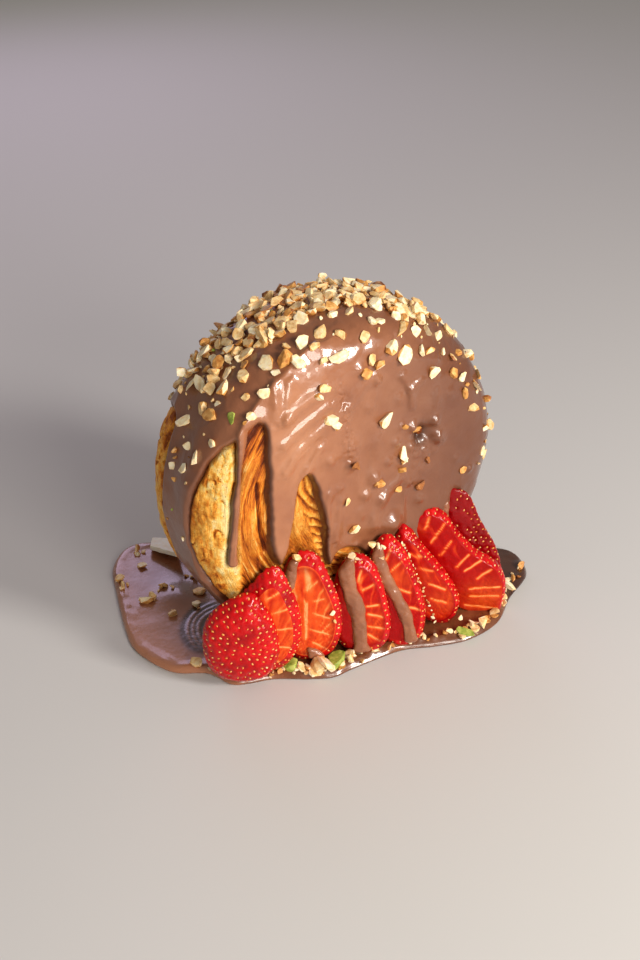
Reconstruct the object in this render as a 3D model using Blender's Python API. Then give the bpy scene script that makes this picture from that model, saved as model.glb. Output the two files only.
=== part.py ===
"""A coiled croissant roll standing on its rim, half dipped in milk chocolate and chopped hazelnuts.

A fan of strawberry slices leans against its front face, and a pool of the same chocolate lies below.
Metres, +Z up, +Y along the axis of the roll. The front face looks towards -Y.
"""

import math

import bmesh
import bpy
import numpy as np
from mathutils import Matrix, Vector
from mathutils.bvhtree import BVHTree

MM = 0.001
GAP = 0.3 * MM

# The roll, measured over its chocolate
RIM_RADIUS = 55.0 * MM
HALF_WIDTH = 21.7 * MM
SHOULDER = 14.5 * MM
AXIS_HEIGHT = 55.0 * MM

# The baked crust under the chocolate
COAT = 2.3 * MM
COIL_PITCH = 9.0 * MM
COIL_SEAM_RADIUS = 35.5 * MM
SEAM_DEPTH = 0.9 * MM
SEAM_WIDTH = 1.1 * MM
CRUST_SWELL = 0.45 * MM
FOOT_SWELL = 0.8 * MM
FOOT_SPREAD = 0.45
EVEN_CENTRE = 20.0 * MM
CRUST_TRIANGLES = 1600
ROLL_COLUMNS = 240
ROLL_ROWS = 100

# The chocolate coat
COAT_EDGE = 2.0 * MM
COAT_LIP = 0.7 * MM
LIP_REACH = 4.0 * MM
BARE_SLOPE = 2.5
BARE_DEPTH = 1.4 * MM
COAT_CLEAR = 1.15 * GAP
COAT_TRIANGLES = 2600

# Bare patches of crust, as outlines on each face: x, and height from the axis
BARE_FRONT = [
    (-35, 32.6), (-41.5, 29.6), (-50, 24), (-57, 15), (-61.3, 3.5), (-61, -8), (-56.5, -18.5),
    (-50, -27), (-41, -40), (-31, -56), (-24, -76), (24, -76), (32, -58), (44, -42), (48, -30),
    (41, -23), (34, -29), (28, -24), (21, -22), (15, -27), (9, -20.5), (3, -25), (-3, -20), (-9.5, -19),
    (-13, -23.5), (-15.6, -18), (-17.2, -6), (-19.2, 6), (-21.3, 11.6), (-23.8, 7), (-25.4, -3),
    (-27.4, -11), (-30, -17), (-33.6, -11), (-34, 2), (-34.4, 18),
]
BARE_BACK = [
    (-54, 31), (-60, 24), (-64, 12), (-65.5, -2), (-63.5, -16), (-56, -30), (-42, -44), (-31, -58),
    (-24, -76), (24, -76), (31, -58), (43, -42), (55, -28), (60, -12), (57, 6), (50, 16), (44.5, 8),
    (43, -8), (39, -24), (34, -18), (29, -10), (24.5, -14), (20, -27), (14, -18), (5, -13), (-3, -23),
    (-9, -16), (-16, -4), (-22, 3), (-27, -8), (-31, -21), (-35, -12), (-38, 6), (-45, 25),
]
# A thin strand that crosses the left patch: x, height from the axis, half width
STRAND = [(-41.0, 32.0, 1.8), (-43.2, 19.0, 1.2), (-45.2, 4.0, 1.6), (-46.3, -8.0, 1.8), (-46.4, -11.3, 2.1)]
# Round swellings and one hollow: x, height from the axis, radius, rise
DROPS = [(8.5, -9.5, 4.5, 1.8), (20.5, 12.5, 4.5, -1.1), (-30.5, -12.0, 3.5, 0.8)]

# Chopped hazelnuts on the coat
NUT_SEED = 20
NUT_SIZE = (3.8 * MM, 5.8 * MM)
NUT_CORNERS = 10
NUT_SINK = 0.05
NUT_REACH = 0.62
HEAP_SPACING = 5.0 * MM
THIN_SPACING = 19.0 * MM
HEAP_START, HEAP_FULL = 0.55, 0.85
NUT_TRIES = 9000
NUT_COUNT = 120

# The pool of chocolate on the floor: x and y from the foot of the roll
POOL_DEPTH = 2.0 * MM
POOL_EDGE = 0.8 * MM
POOL_OUTLINE = [
    (0, 47), (-19, 55), (-30, 62), (-41, 65.2), (-51, 57), (-57, 42), (-63.5, 22), (-65.3, 10),
    (-61, -4), (-52, -11), (-48.6, -19.5), (-44, -22.3), (-36, -25), (-27, -31), (-20, -34.5),
    (-12, -34.5), (5, -35.5), (16, -40), (27, -43.2), (40, -41.5), (52, -33.5), (66, -26), (70.6, -14),
    (64, -4), (52, 8), (44, 26), (24, 38),
]
POOL_POINTS_PER_SPAN = 3
# Each ring of the pool's edge: how far in, in edge widths, and how high, in pool depths
POOL_RINGS = [(0.7, 0.0), (0.0, 0.35), (0.15, 0.65), (1.5, 1.0)]

# Folds of sauce behind the first slice: centre, radius, first and last angle in degrees
RIPPLE_CENTRE = (-33.0, 1.5)
RIPPLE_RADII = (15.5, 17.7, 19.8)
RIPPLE_SWEEP = (102.0, 196.0)
RIPPLE_RISE = 0.9 * MM
RIPPLE_STEPS = 9
RIPPLE_SIDES = 6

# Hazelnut and pistachio crumbs that lie in the pool: x, y, size
POOL_NUTS = [
    (-58, 42, 4.2), (-59, 31, 4.4), (-61.5, 24, 4.0), (-44, 25, 4.4), (-48, 22, 3.6), (-33, 29, 4.6),
    (-60, 49, 3.4), (-50, 57, 3.6), (-57, -7, 3.6), (-34, -27, 4.4), (-23.5, -32.5, 5.0),
    (-19.5, -34, 4.6), (-16, -32.5, 4.2), (-12, -34, 3.6), (-3, -36, 3.8), (12, -39, 4.6),
    (21, -42, 4.4), (33, -43, 3.4), (45, -38.5, 5.0), (51, -34, 4.2), (58, -30, 4.2), (64, -24, 3.4),
    (65, -10, 3.6), (54, 3, 3.8), (-25, 52, 4.0), (8, 42, 4.2), (34, 30, 3.8),
]
NUDGE = 0.7 * MM
MOST_NUDGES = 7

# Strawberry slices, from the left. The foot is a point on the pool under the cut face. Yaw turns the cut
# face to the left, lean tips it back and roll swings its tip to the left. The outline gives x across the
# cut face and height from the foot. A strip of sauce on it is given as x, height and half width.
SLICES = {
    "strawberry_slice_1": {
        "foot": (-48.8, -25.3), "yaw": 30, "lean": 1, "roll": -8, "thick": 5.6, "dome": "front",
        "outline": [
            (1.5, 0.3), (8.5, 3), (11.4, 10.5), (10, 19), (5.5, 28), (0, 33), (-6, 30), (-11.3, 24),
            (-12.7, 15.5), (-10.5, 6.5), (-5.5, 1.2),
        ],
    },
    "strawberry_slice_2": {
        "foot": (-38.6, -24.4), "yaw": 30, "lean": 1, "roll": -4, "thick": 4.0,
        "outline": [
            (0, 0), (6.5, 3), (10.2, 11), (9.8, 21.5), (6.6, 31), (2.6, 38.5), (-1.2, 38.8),
            (-5.6, 33.5), (-10.5, 26.5), (-13, 17), (-10.5, 6.5), (-5, 1),
        ],
    },
    "strawberry_slice_3": {
        "foot": (-24.4, -25.8), "yaw": 34, "lean": 2, "roll": 2, "thick": 3.4,
        "outline": [
            (0, 0), (7.5, 2.2), (11.2, 10), (11.2, 20.5), (8.2, 31), (5, 38.3), (0.5, 40.5), (-3.8, 38),
            (-7, 31), (-9.3, 20), (-8.6, 9), (-4.6, 2),
        ],
        "strip": [(-1.6, 39.0, 1.3), (-2.2, 35.0, 1.5), (-2.6, 30.5, 1.1), (-2.6, 27.5, 0.7)],
    },
    "strawberry_slice_4": {
        "foot": (-7.8, -32.4), "yaw": 34, "lean": 8, "roll": 6, "thick": 4.2,
        "outline": [
            (1, -0.5), (7.2, 2), (9.9, 9), (9.2, 20), (7, 30), (3.5, 34.2), (-0.5, 34.4), (-4.5, 31),
            (-8, 23), (-9.5, 13), (-7.5, 5), (-3.5, 0.5),
        ],
        "strip": [
            (0.6, 33.2, 1.9), (-1.3, 29, 1.8), (0, 20, 2.1), (0.1, 10.4, 2), (0.2, 3.4, 3), (0.3, 0.8, 3.6),
        ],
    },
    "strawberry_slice_5": {
        "foot": (5.0, -35.3), "yaw": 34, "lean": 8, "roll": 9, "thick": 5.0,
        "outline": [
            (2, -1.5), (7, 1.5), (9.5, 10), (8.4, 21.5), (5.8, 32), (2.4, 37.8), (-1.4, 37.6), (-5, 33),
            (-8, 24), (-9, 13), (-7, 4.5), (-3, -0.3),
        ],
        "strip": [
            (-0.6, 36.4, 1.5), (-2.6, 30.5, 1.5), (-0.5, 21.5, 1.8), (2.2, 11.5, 1.9), (3.6, 4, 1.8),
            (4.2, 0.8, 2.2),
        ],
    },
    "strawberry_slice_6": {
        "foot": (24.6, -35.2), "yaw": 34, "lean": 2, "roll": 26, "thick": 5.4,
        "outline": [
            (-1.5, -0.6), (3.2, 1), (6.8, 7), (6.6, 17), (4.3, 29), (2.9, 37.5), (0.3, 39.8), (-3, 37),
            (-7, 28), (-9, 17), (-8.3, 7.5), (-5.3, 1.7),
        ],
    },
    "strawberry_slice_7": {
        "foot": (39.0, -35.4), "yaw": 34, "lean": 2, "roll": 30, "thick": 5.4,
        "outline": [
            (1.8, -4), (6.5, -1.5), (11, 5.5), (11.5, 12.5), (7.8, 21), (6, 30), (5.4, 38.4),
            (1.5, 43.2), (-3, 43), (-7.5, 38.5), (-10, 27), (-10.3, 14), (-6.5, 3),
        ],
    },
    "strawberry_slice_8": {
        "foot": (41.8, -29.0), "yaw": 34, "lean": 2, "roll": 15, "thick": 6.5, "dome": "back",
        "outline": [
            (0, 0), (6.5, 2.5), (9.8, 9), (9.8, 18.5), (7.2, 29), (5.6, 39), (2, 43), (-2.5, 42.8),
            (-6.5, 39.5), (-9.5, 30), (-11, 18), (-8.5, 6), (-4, 1),
        ],
    },
}
# Each ring of a slice: its size beside the outline, and how deep it lies in the thickness
SLICE_RINGS = {
    None: [(0.9, 0.0), (0.985, 0.3), (1.0, 0.7), (0.96, 1.0)],
    "front": [(0.3, -0.06), (0.6, 0.04), (0.84, 0.3), (0.97, 0.66), (1.0, 1.0)],
    "back": [(1.0, 0.0), (0.97, 0.34), (0.84, 0.7), (0.6, 0.96), (0.3, 1.06)],
}
SLICE_MIDDLE = 16.0
# How far the slices stay clear of an even roll, so that they miss its lips and swellings
SLICE_ROOM = COAT_LIP + CRUST_SWELL + 2 * GAP
SLICE_POINTS_PER_SPAN = 2
STRIP_RISE = 1.1 * MM
STRIP_SIDES = 8
ROOM_COLUMNS = 64
ROOM_ROWS = 24

# A flake of white chocolate that lies on the pool: its outline, and its tilt in degrees
FLAKE_OUTLINE = [(-33, 62), (-28.3, 58.8), (-27.6, 53), (-30.8, 42), (-37, 55.5)]
FLAKE_TILT = (-9.0, 6.0)
FLAKE_THICK = 1.6 * MM

COLOURS = {
    "crust": ((0.62, 0.30, 0.08), 0.62),
    "milk_chocolate": ((0.30, 0.15, 0.085), 0.30),
    "sauce": ((0.24, 0.12, 0.07), 0.22),
    "strawberry": ((0.62, 0.03, 0.03), 0.35),
    "white_chocolate": ((0.82, 0.74, 0.62), 0.55),
}


def material(name):
    colour, roughness = COLOURS[name]
    made = bpy.data.materials.get(name) or bpy.data.materials.new(name)
    made.use_nodes = True
    shader = made.node_tree.nodes["Principled BSDF"]
    shader.inputs["Base Color"].default_value = (*colour, 1.0)
    shader.inputs["Roughness"].default_value = roughness
    shader.inputs["Metallic"].default_value = 0.0
    return made


def object_from(name, vertices, faces, finish=None):
    mesh = bpy.data.meshes.new(name)
    mesh.from_pydata([tuple(v) for v in vertices], [], [tuple(f) for f in faces])
    made = bpy.data.objects.new(name, mesh)
    bpy.context.scene.collection.objects.link(made)
    if finish:
        mesh.materials.append(material(finish))
    return made


def remove(made):
    bpy.data.objects.remove(made, do_unlink=True)


def apply_modifiers(made):
    depsgraph = bpy.context.evaluated_depsgraph_get()
    mesh = bpy.data.meshes.new_from_object(made.evaluated_get(depsgraph))
    made.modifiers.clear()
    made.data = mesh


def combine(target, tool, operation):
    """Apply a Boolean of one object, or of a collection, and remove the tool."""
    change = target.modifiers.new(operation, "BOOLEAN")
    change.operation = operation
    change.solver = "EXACT"
    if isinstance(tool, bpy.types.Collection):
        change.operand_type = "COLLECTION"
        change.collection = tool
    else:
        change.object = tool
    apply_modifiers(target)
    if isinstance(tool, bpy.types.Collection):
        for member in list(tool.objects):
            remove(member)
        bpy.data.collections.remove(tool)
    else:
        remove(tool)


def simplify(made, triangles):
    """Collapse a dense closed mesh to about this many triangles, which keeps its edges and folds."""
    change = made.modifiers.new("simplify", "DECIMATE")
    change.ratio = triangles / (2.0 * len(made.data.vertices))
    change.use_collapse_triangulate = True
    apply_modifiers(made)


def keep_largest(made):
    """Drop loose scraps that a Boolean left beside the main body."""
    mesh = bmesh.new()
    mesh.from_mesh(made.data)
    unseen = set(mesh.verts)
    groups = []
    while unseen:
        queue = [unseen.pop()]
        group = set(queue)
        while queue:
            for edge in queue.pop().link_edges:
                for end in edge.verts:
                    if end in unseen:
                        unseen.discard(end)
                        group.add(end)
                        queue.append(end)
        groups.append(group)
    largest = max(groups, key=len)
    bmesh.ops.delete(mesh, geom=[v for v in mesh.verts if v not in largest], context="VERTS")
    mesh.to_mesh(made.data)
    mesh.free()


def smooth_loop(anchors, per_span):
    """A closed smooth curve through the anchors, as an array of points."""
    points = np.array(anchors, float)
    before, after = np.roll(points, 1, 0), np.roll(points, -1, 0)
    beyond = np.roll(points, -2, 0)
    steps = []
    for t in np.arange(per_span) / per_span:
        steps.append(
            0.5 * (
                2 * points
                + (after - before) * t
                + (2 * before - 5 * points + 4 * after - beyond) * t**2
                + (3 * points - before - 3 * after + beyond) * t**3
            )
        )
    return np.stack(steps, axis=1).reshape(-1, 2)


def inside_distance(points, loop):
    """Distance from each point to a closed loop in the plane, positive inside it."""
    side = np.roll(loop, -1, 0) - loop
    offset = points[:, None, :] - loop[None]
    along = np.clip((offset * side).sum(2) / (side**2).sum(1), 0, 1)
    nearest = np.sqrt(((offset - along[..., None] * side) ** 2).sum(2).min(1))
    end = loop + side
    straddles = (loop[:, 1] > points[:, 1, None]) != (end[:, 1] > points[:, 1, None])
    rise = np.where(side[:, 1] == 0, 1.0, side[:, 1])
    crossing = loop[:, 0] + (points[:, 1, None] - loop[:, 1]) * side[:, 0] / rise
    inside = (straddles & (points[:, 0, None] < crossing)).sum(1) % 2 == 1
    return np.where(inside, nearest, -nearest)


def strand_distance(points, strand):
    """Distance inside a strand of varying half width, positive inside it."""
    best = np.full(len(points), -np.inf)
    for (x0, z0, r0), (x1, z1, r1) in zip(strand, strand[1:]):
        start, run = np.array((x0, z0)), np.array((x1 - x0, z1 - z0))
        along = np.clip(((points - start) @ run) / (run @ run), 0, 1)
        away = np.sqrt(((points - start - along[:, None] * run) ** 2).sum(1))
        best = np.maximum(best, r0 + (r1 - r0) * along - away)
    return best


FACE_FLAT = RIM_RADIUS - SHOULDER
HALF_PATH = FACE_FLAT + SHOULDER * math.pi / 2 + HALF_WIDTH - SHOULDER


def profile(path):
    """Radius, y and outward direction along the roll's section, from the front centre to the back one."""
    near = np.minimum(path, 2 * HALF_PATH - path)
    turn = np.clip((near - FACE_FLAT) / SHOULDER, 0, math.pi / 2)
    radius = np.minimum(near, FACE_FLAT) + SHOULDER * np.sin(turn)
    along_rim = np.maximum(near - FACE_FLAT - SHOULDER * math.pi / 2, 0)
    y = -HALF_WIDTH + SHOULDER * (1 - np.cos(turn)) + along_rim
    side = np.where(path > HALF_PATH, -1.0, 1.0)
    return radius, y * side, np.sin(turn), -np.cos(turn) * side


def roll_points(angle, path, height):
    """Points at a height over the coated roll's even surface. The angle runs from +X towards +Z."""
    radius, y, out_radial, out_y = profile(path)
    reach = radius + height * out_radial
    return np.stack([reach * np.cos(angle), y + height * out_y, AXIS_HEIGHT + reach * np.sin(angle)], axis=-1)


def crust_relief(angle, path):
    """Height of the baked crust over an even roll: its uneven swelling, and the seam between its coils."""
    near = np.minimum(path, 2 * HALF_PATH - path)
    swell = (
        np.sin(3 * angle + 0.6)
        + np.sin(5 * angle + path / (7 * MM))
        + np.sin(2 * angle - path / (11 * MM) + 2.0)
    )
    turn = (near - COIL_SEAM_RADIUS) / COIL_PITCH - (angle - math.pi) / (2 * math.pi)
    from_seam = np.abs(turn - np.round(turn)) * COIL_PITCH
    on_face = np.clip((FACE_FLAT + 2 * MM - near) / (6 * MM), 0, 1) * np.clip(near / (6 * MM), 0, 1)
    seam = -SEAM_DEPTH * np.exp(-((from_seam / SEAM_WIDTH) ** 2)) * on_face
    from_foot = (angle + math.pi / 2) / FOOT_SPREAD
    foot = FOOT_SWELL * np.exp(-(from_foot**2)) * np.clip(near / FACE_FLAT, 0, 1)
    fade = np.clip(near / EVEN_CENTRE, 0, 1) ** 2
    return CRUST_SWELL * swell / 2 * fade + foot, seam


def face_position(angle, path, back=False):
    """Place on the front or back face in millimetres, with the shoulder and rim laid flat around it."""
    reach = (2 * HALF_PATH - path if back else path) / MM
    return np.stack([reach * np.cos(angle), reach * np.sin(angle)], axis=-1)


FRONT_LOOP = smooth_loop(BARE_FRONT, 5)
BACK_LOOP = smooth_loop(BARE_BACK, 5)


def coat_height(angle, path):
    """Thickness of the chocolate over the crust, negative where the crust is bare."""
    front = face_position(angle, path)
    back = face_position(angle, path, back=True)
    covered = np.minimum(-inside_distance(front, FRONT_LOOP), -inside_distance(back, BACK_LOOP))
    covered = np.maximum(covered, strand_distance(front, STRAND)) * MM
    across = np.clip(covered / COAT_EDGE, 0, 1)
    rounded = COAT * np.sqrt(1 - (1 - across) ** 2)
    lip = COAT_LIP * across * np.exp(-np.clip(covered, 0, None) / LIP_REACH)
    for x, z, radius, rise in DROPS:
        away = np.hypot(front[:, 0] - x, front[:, 1] - z) / radius
        rounded = rounded + rise * MM * np.exp(-(away**2)) * across
    return np.where(covered > 0, rounded + lip, np.maximum(BARE_SLOPE * covered, -BARE_DEPTH))


def roll_mesh(name, height, finish=None):
    """A closed dense mesh round the roll, at the height that a function of angle and path gives."""
    columns, rows = ROLL_COLUMNS, ROLL_ROWS
    angles = np.linspace(-math.pi, math.pi, columns, endpoint=False)
    paths = np.linspace(0, 2 * HALF_PATH, rows + 1)[1:-1]
    angle, path = (grid.ravel() for grid in np.meshgrid(angles, paths))
    body = roll_points(angle, path, height(angle, path))
    centre = np.array([0.0]), np.array([0.5 * MM])
    front = roll_points(*centre, height(*centre))
    front[0, 0], front[0, 2] = 0.0, AXIS_HEIGHT
    back = front * (1, -1, 1)
    vertices = np.vstack([body, front, back])
    faces = []
    for row in range(rows - 2):
        for column in range(columns):
            after = (column + 1) % columns
            low, high = row * columns, (row + 1) * columns
            faces.append((low + column, high + column, high + after, low + after))
    last = (rows - 2) * columns
    for column in range(columns):
        after = (column + 1) % columns
        faces.append((len(body), column, after))
        faces.append((len(body) + 1, last + after, last + column))
    return object_from(name, vertices, faces, finish)


def croissant():
    """The roll as baked: a disc with round shoulders, coil seams and a flat foot."""
    made = roll_mesh("croissant", lambda a, s: sum(crust_relief(a, s)) - COAT, "crust")
    simplify(made, CRUST_TRIANGLES)
    foot = POOL_DEPTH + GAP
    for vertex in made.data.vertices:
        vertex.co.z = max(vertex.co.z, foot)
    return made


def grown(made, distance):
    """A copy of a closed mesh with each vertex moved out along its normal."""
    copy = made.copy()
    copy.data = made.data.copy()
    bpy.context.scene.collection.objects.link(copy)
    for vertex, normal in zip(copy.data.vertices, [v.normal.copy() for v in copy.data.vertices]):
        vertex.co += normal * distance
    return copy


def box(name, low, high):
    corners = [(x, y, z) for z in (low[2], high[2]) for y in (low[1], high[1]) for x in (low[0], high[0])]
    faces = [(0, 2, 3, 1), (4, 5, 7, 6), (0, 1, 5, 4), (2, 6, 7, 3), (0, 4, 6, 2), (1, 3, 7, 5)]
    return object_from(name, corners, faces)


def nut(rng, size, place, outward, into):
    """One chopped piece of nut: the hull of a few corners, sunk into what it lies on."""
    mesh = bmesh.new()
    for _ in range(NUT_CORNERS):
        corner = Vector(rng.normal(size=3)).normalized()
        corner.z *= rng.uniform(0.55, 0.8)
        mesh.verts.new(corner * (size / 2) * rng.uniform(0.85, 1.1))
    made = bmesh.ops.convex_hull(mesh, input=mesh.verts)
    bmesh.ops.delete(mesh, geom=list(set(made["geom_interior"] + made["geom_unused"])), context="VERTS")
    bmesh.ops.triangulate(mesh, faces=mesh.faces)
    bmesh.ops.recalc_face_normals(mesh, faces=mesh.faces)
    stand = outward.to_track_quat("Z", "Y").to_matrix().to_4x4()
    spin = Matrix.Rotation(rng.uniform(0, 2 * math.pi), 4, "Z")
    centre = place + outward * size * NUT_SINK
    bmesh.ops.transform(mesh, matrix=Matrix.Translation(centre) @ stand @ spin, verts=mesh.verts)
    data = bpy.data.meshes.new("nut")
    mesh.to_mesh(data)
    mesh.free()
    into.objects.link(bpy.data.objects.new("nut", data))


def nut_spacing(z):
    """How far apart the nuts lie: a heap along the top of the rim that thins down the faces and sides."""
    rise = (z - AXIS_HEIGHT) / RIM_RADIUS
    heap = np.clip((rise - HEAP_START) / (HEAP_FULL - HEAP_START), 0, 1)
    return THIN_SPACING + (HEAP_SPACING - THIN_SPACING) * heap


def coat_nuts(others):
    """Place, outward direction and size of each nut, from the top down, clear of the other parts."""
    rng = np.random.default_rng(NUT_SEED)
    angle = rng.uniform(-0.2, math.pi + 0.25, NUT_TRIES)
    path = rng.uniform(0, 2 * HALF_PATH, NUT_TRIES)
    size = rng.uniform(*NUT_SIZE, NUT_TRIES)
    keep = rng.uniform(0, 1, NUT_TRIES) < profile(path)[0] / RIM_RADIUS
    angle, path, size = angle[keep], path[keep], size[keep]
    thickness = coat_height(angle, path)
    points = roll_points(angle, path, thickness + crust_relief(angle, path)[0] - COAT)
    _, _, out_radial, out_y = profile(path)
    outward = np.stack([out_radial * np.cos(angle), out_y, out_radial * np.sin(angle)], axis=-1)
    spacing = nut_spacing(points[:, 2])
    chosen = []
    for index in np.flatnonzero(thickness > 0.85 * COAT):
        near_a_nut = any(np.linalg.norm(points[index] - points[other]) < spacing[index] for other in chosen)
        if not near_a_nut and is_clear(points[index], size[index], others):
            chosen.append(index)
    chosen.sort(key=lambda index: -points[index][2])
    return [(Vector(points[index]), Vector(outward[index]), size[index]) for index in chosen[:NUT_COUNT]]


def is_clear(place, size, others):
    """Whether a nut of this size lies clear of the other parts."""
    return others.find_nearest(Vector(place), size * NUT_REACH + GAP)[0] is None


def chocolate_coat(roll, others):
    """A thin skin over the roll, with drips and bare patches, and the chopped nuts set in it."""

    def height(angle, path):
        return coat_height(angle, path) + crust_relief(angle, path)[0] - COAT

    made = roll_mesh("chocolate_coat", height, "milk_chocolate")
    simplify(made, COAT_TRIANGLES)
    combine(made, grown(roll, COAT_CLEAR), "DIFFERENCE")
    reach = 2 * RIM_RADIUS
    combine(made, box("below", (-reach, -reach, -reach), (reach, reach, POOL_DEPTH + 2 * GAP)), "DIFFERENCE")
    keep_largest(made)
    rng = np.random.default_rng(NUT_SEED)
    nuts = bpy.data.collections.new("nuts")
    for place, outward, size in coat_nuts(others):
        nut(rng, size, place, outward, nuts)
    combine(made, nuts, "UNION")
    keep_largest(made)
    return made


def sauce_pool(others):
    """A shallow pool with a round edge, folds behind the first slice, and nuts lying in it."""
    loop = smooth_loop(POOL_OUTLINE, POOL_POINTS_PER_SPAN)[::-1]
    ahead, behind = np.roll(loop, -1, 0), np.roll(loop, 1, 0)
    tangent = (ahead - behind) / np.linalg.norm(ahead - behind, axis=1)[:, None]
    inward = np.stack([tangent[:, 1], -tangent[:, 0]], axis=1)
    rings = []
    for inset, height in POOL_RINGS:
        ring = loop + inward * inset * POOL_EDGE / MM
        rings.append([(x * MM, y * MM, height * POOL_DEPTH) for x, y in ring])
    made = object_from("sauce_pool", *lofted(rings), "sauce")
    added = bpy.data.collections.new("in_pool")
    for radius in RIPPLE_RADII:
        ripple(radius, added)
    rng = np.random.default_rng(NUT_SEED + 1)
    for x, y, size in POOL_NUTS:
        place = Vector((x * MM, y * MM, POOL_DEPTH))
        away = Vector((x, y, 0)).normalized() * NUDGE
        nudges = 0
        while not is_clear(place, size * MM, others) and nudges < MOST_NUDGES:
            place += away
            nudges += 1
        if nudges < MOST_NUDGES:
            nut(rng, size * MM, place, Vector((0, 0, 1)), added)
    combine(made, added, "UNION")
    keep_largest(made)
    return made


def lofted(rings):
    """Vertices and faces of a closed body through rings of as many points each, given from the bottom up."""
    count = len(rings[0])
    faces = [tuple(reversed(range(count)))]
    for level in range(len(rings) - 1):
        for index in range(count):
            after = (index + 1) % count
            low, high = level * count, (level + 1) * count
            faces.append((low + index, low + after, high + after, high + index))
    last = (len(rings) - 1) * count
    faces.append(tuple(range(last, last + count)))
    return [point for ring in rings for point in ring], faces


def bar(name, stations, sides, into):
    """A bent bar of sauce through stations, each a centre, a half width vector and a rise vector."""
    rings = []
    for centre, across, rise in stations:
        turns = [2 * math.pi * side / sides for side in range(sides)]
        rings.append([tuple(centre + across * math.cos(turn) + rise * math.sin(turn)) for turn in turns])
    vertices, faces = lofted(rings)
    data = bpy.data.meshes.new(name)
    data.from_pydata(vertices, [], faces)
    mesh = bmesh.new()
    mesh.from_mesh(data)
    bmesh.ops.recalc_face_normals(mesh, faces=mesh.faces)
    mesh.to_mesh(data)
    mesh.free()
    into.objects.link(bpy.data.objects.new(name, data))


def ripple(radius, into):
    """One low fold of sauce on the pool, tapered to both ends."""
    start, end = (math.radians(angle) for angle in RIPPLE_SWEEP)
    stations = []
    for step in range(RIPPLE_STEPS):
        t = step / (RIPPLE_STEPS - 1)
        angle = start + (end - start) * t
        out = Vector((math.cos(angle), math.sin(angle), 0))
        rise = RIPPLE_RISE * (0.35 + 0.65 * math.sin(math.pi * t))
        centre = Vector((*RIPPLE_CENTRE, 0)) * MM + out * radius * MM
        centre.z = POOL_DEPTH
        stations.append((centre, out * rise, Vector((0, 0, rise))))
    bar("ripple", stations, RIPPLE_SIDES, into)


def slice_frame(foot, yaw, lean, roll):
    """Where a slice stands: x across its cut face, y into the slice, z up to the tip."""
    turn = Matrix.Rotation(math.radians(-yaw), 4, "Z")
    tilt = Matrix.Rotation(math.radians(-lean), 4, "X")
    swing = Matrix.Rotation(math.radians(-roll), 4, "Y")
    place = Matrix.Translation((foot[0] * MM, foot[1] * MM, POOL_DEPTH))
    return place @ turn @ tilt @ swing


def strawberry_slice(name, foot, yaw, lean, roll, thick, outline, dome=None, strip=()):
    """A slice cut lengthwise: two cut faces joined by a bevelled band of skin, or a domed end piece."""
    loop = smooth_loop(outline, SLICE_POINTS_PER_SPAN)
    rings = []
    for scale, depth in SLICE_RINGS[dome]:
        ring = [(x * scale, depth * thick, SLICE_MIDDLE + (z - SLICE_MIDDLE) * scale) for x, z in loop]
        rings.append([(x * MM, y * MM, z * MM) for x, y, z in ring])
    vertices, faces = lofted(rings)
    made = object_from(name, vertices, [face[::-1] for face in faces], "strawberry")
    if strip:
        added = bpy.data.collections.new("strip")
        up = Vector((0, -STRIP_RISE, 0))
        stations = [(Vector((x, 0, z)) * MM, Vector((half * MM, 0, 0)), up) for x, z, half in strip]
        bar("strip", stations, STRIP_SIDES, added)
        combine(made, added, "UNION")
    made.data.transform(slice_frame(foot, yaw, lean, roll))
    reach = 2 * RIM_RADIUS
    combine(made, box("floor", (-reach, -reach, -reach), (reach, reach, POOL_DEPTH + GAP)), "DIFFERENCE")
    return made


def clear_of_roll(made, room):
    """Press a slice flat where it would run into the coated roll."""
    cutter = object_from("room", *even_roll(room))
    combine(made, cutter, "DIFFERENCE")
    keep_largest(made)


def even_roll(height):
    """Vertices and faces of a plain disc with round shoulders, this much larger than the coated roll."""
    columns, rows = ROOM_COLUMNS, ROOM_ROWS
    angles = np.linspace(-math.pi, math.pi, columns, endpoint=False)
    paths = np.linspace(0, 2 * HALF_PATH, rows + 1)[1:-1]
    angle, path = (grid.ravel() for grid in np.meshgrid(angles, paths))
    body = roll_points(angle, path, np.full(len(path), height))
    faces = [tuple(range(columns))]
    for row in range(rows - 2):
        for column in range(columns):
            after = (column + 1) % columns
            low, high = row * columns, (row + 1) * columns
            faces.append((low + column, high + column, high + after, low + after))
    last = (rows - 2) * columns
    faces.append(tuple(reversed(range(last, last + columns))))
    return body, faces


def white_flake():
    """A thin broken flake that lies tilted on the pool."""
    middle = np.mean(FLAKE_OUTLINE, axis=0)
    loop = (np.array(FLAKE_OUTLINE) - middle)[::-1]
    rings = [[(x * MM, y * MM, z) for x, y in loop] for z in (0.0, FLAKE_THICK)]
    made = object_from("white_flake", *lofted(rings), "white_chocolate")
    about_x, about_y = (math.radians(angle) for angle in FLAKE_TILT)
    made.data.transform(Matrix.Rotation(about_x, 4, "X") @ Matrix.Rotation(about_y, 4, "Y"))
    lowest = min(vertex.co.z for vertex in made.data.vertices)
    made.data.transform(Matrix.Translation((middle[0] * MM, middle[1] * MM, POOL_DEPTH + GAP - lowest)))
    return made


def centre_all(parts):
    """Move everything so that the middle of the whole part's footprint is the origin."""
    corners = np.array([tuple(v.co) for part in parts for v in part.data.vertices])
    middle = (corners.min(0) + corners.max(0)) / 2
    for part in parts:
        part.data.transform(Matrix.Translation((-middle[0], -middle[1], 0)))


def tree_of(parts):
    """One search tree over several parts, to keep the nuts clear of them."""
    vertices, faces = [], []
    for part in parts:
        start = len(vertices)
        vertices += [vertex.co.copy() for vertex in part.data.vertices]
        faces += [[start + index for index in face.vertices] for face in part.data.polygons]
    return BVHTree.FromPolygons(vertices, faces)


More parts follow.
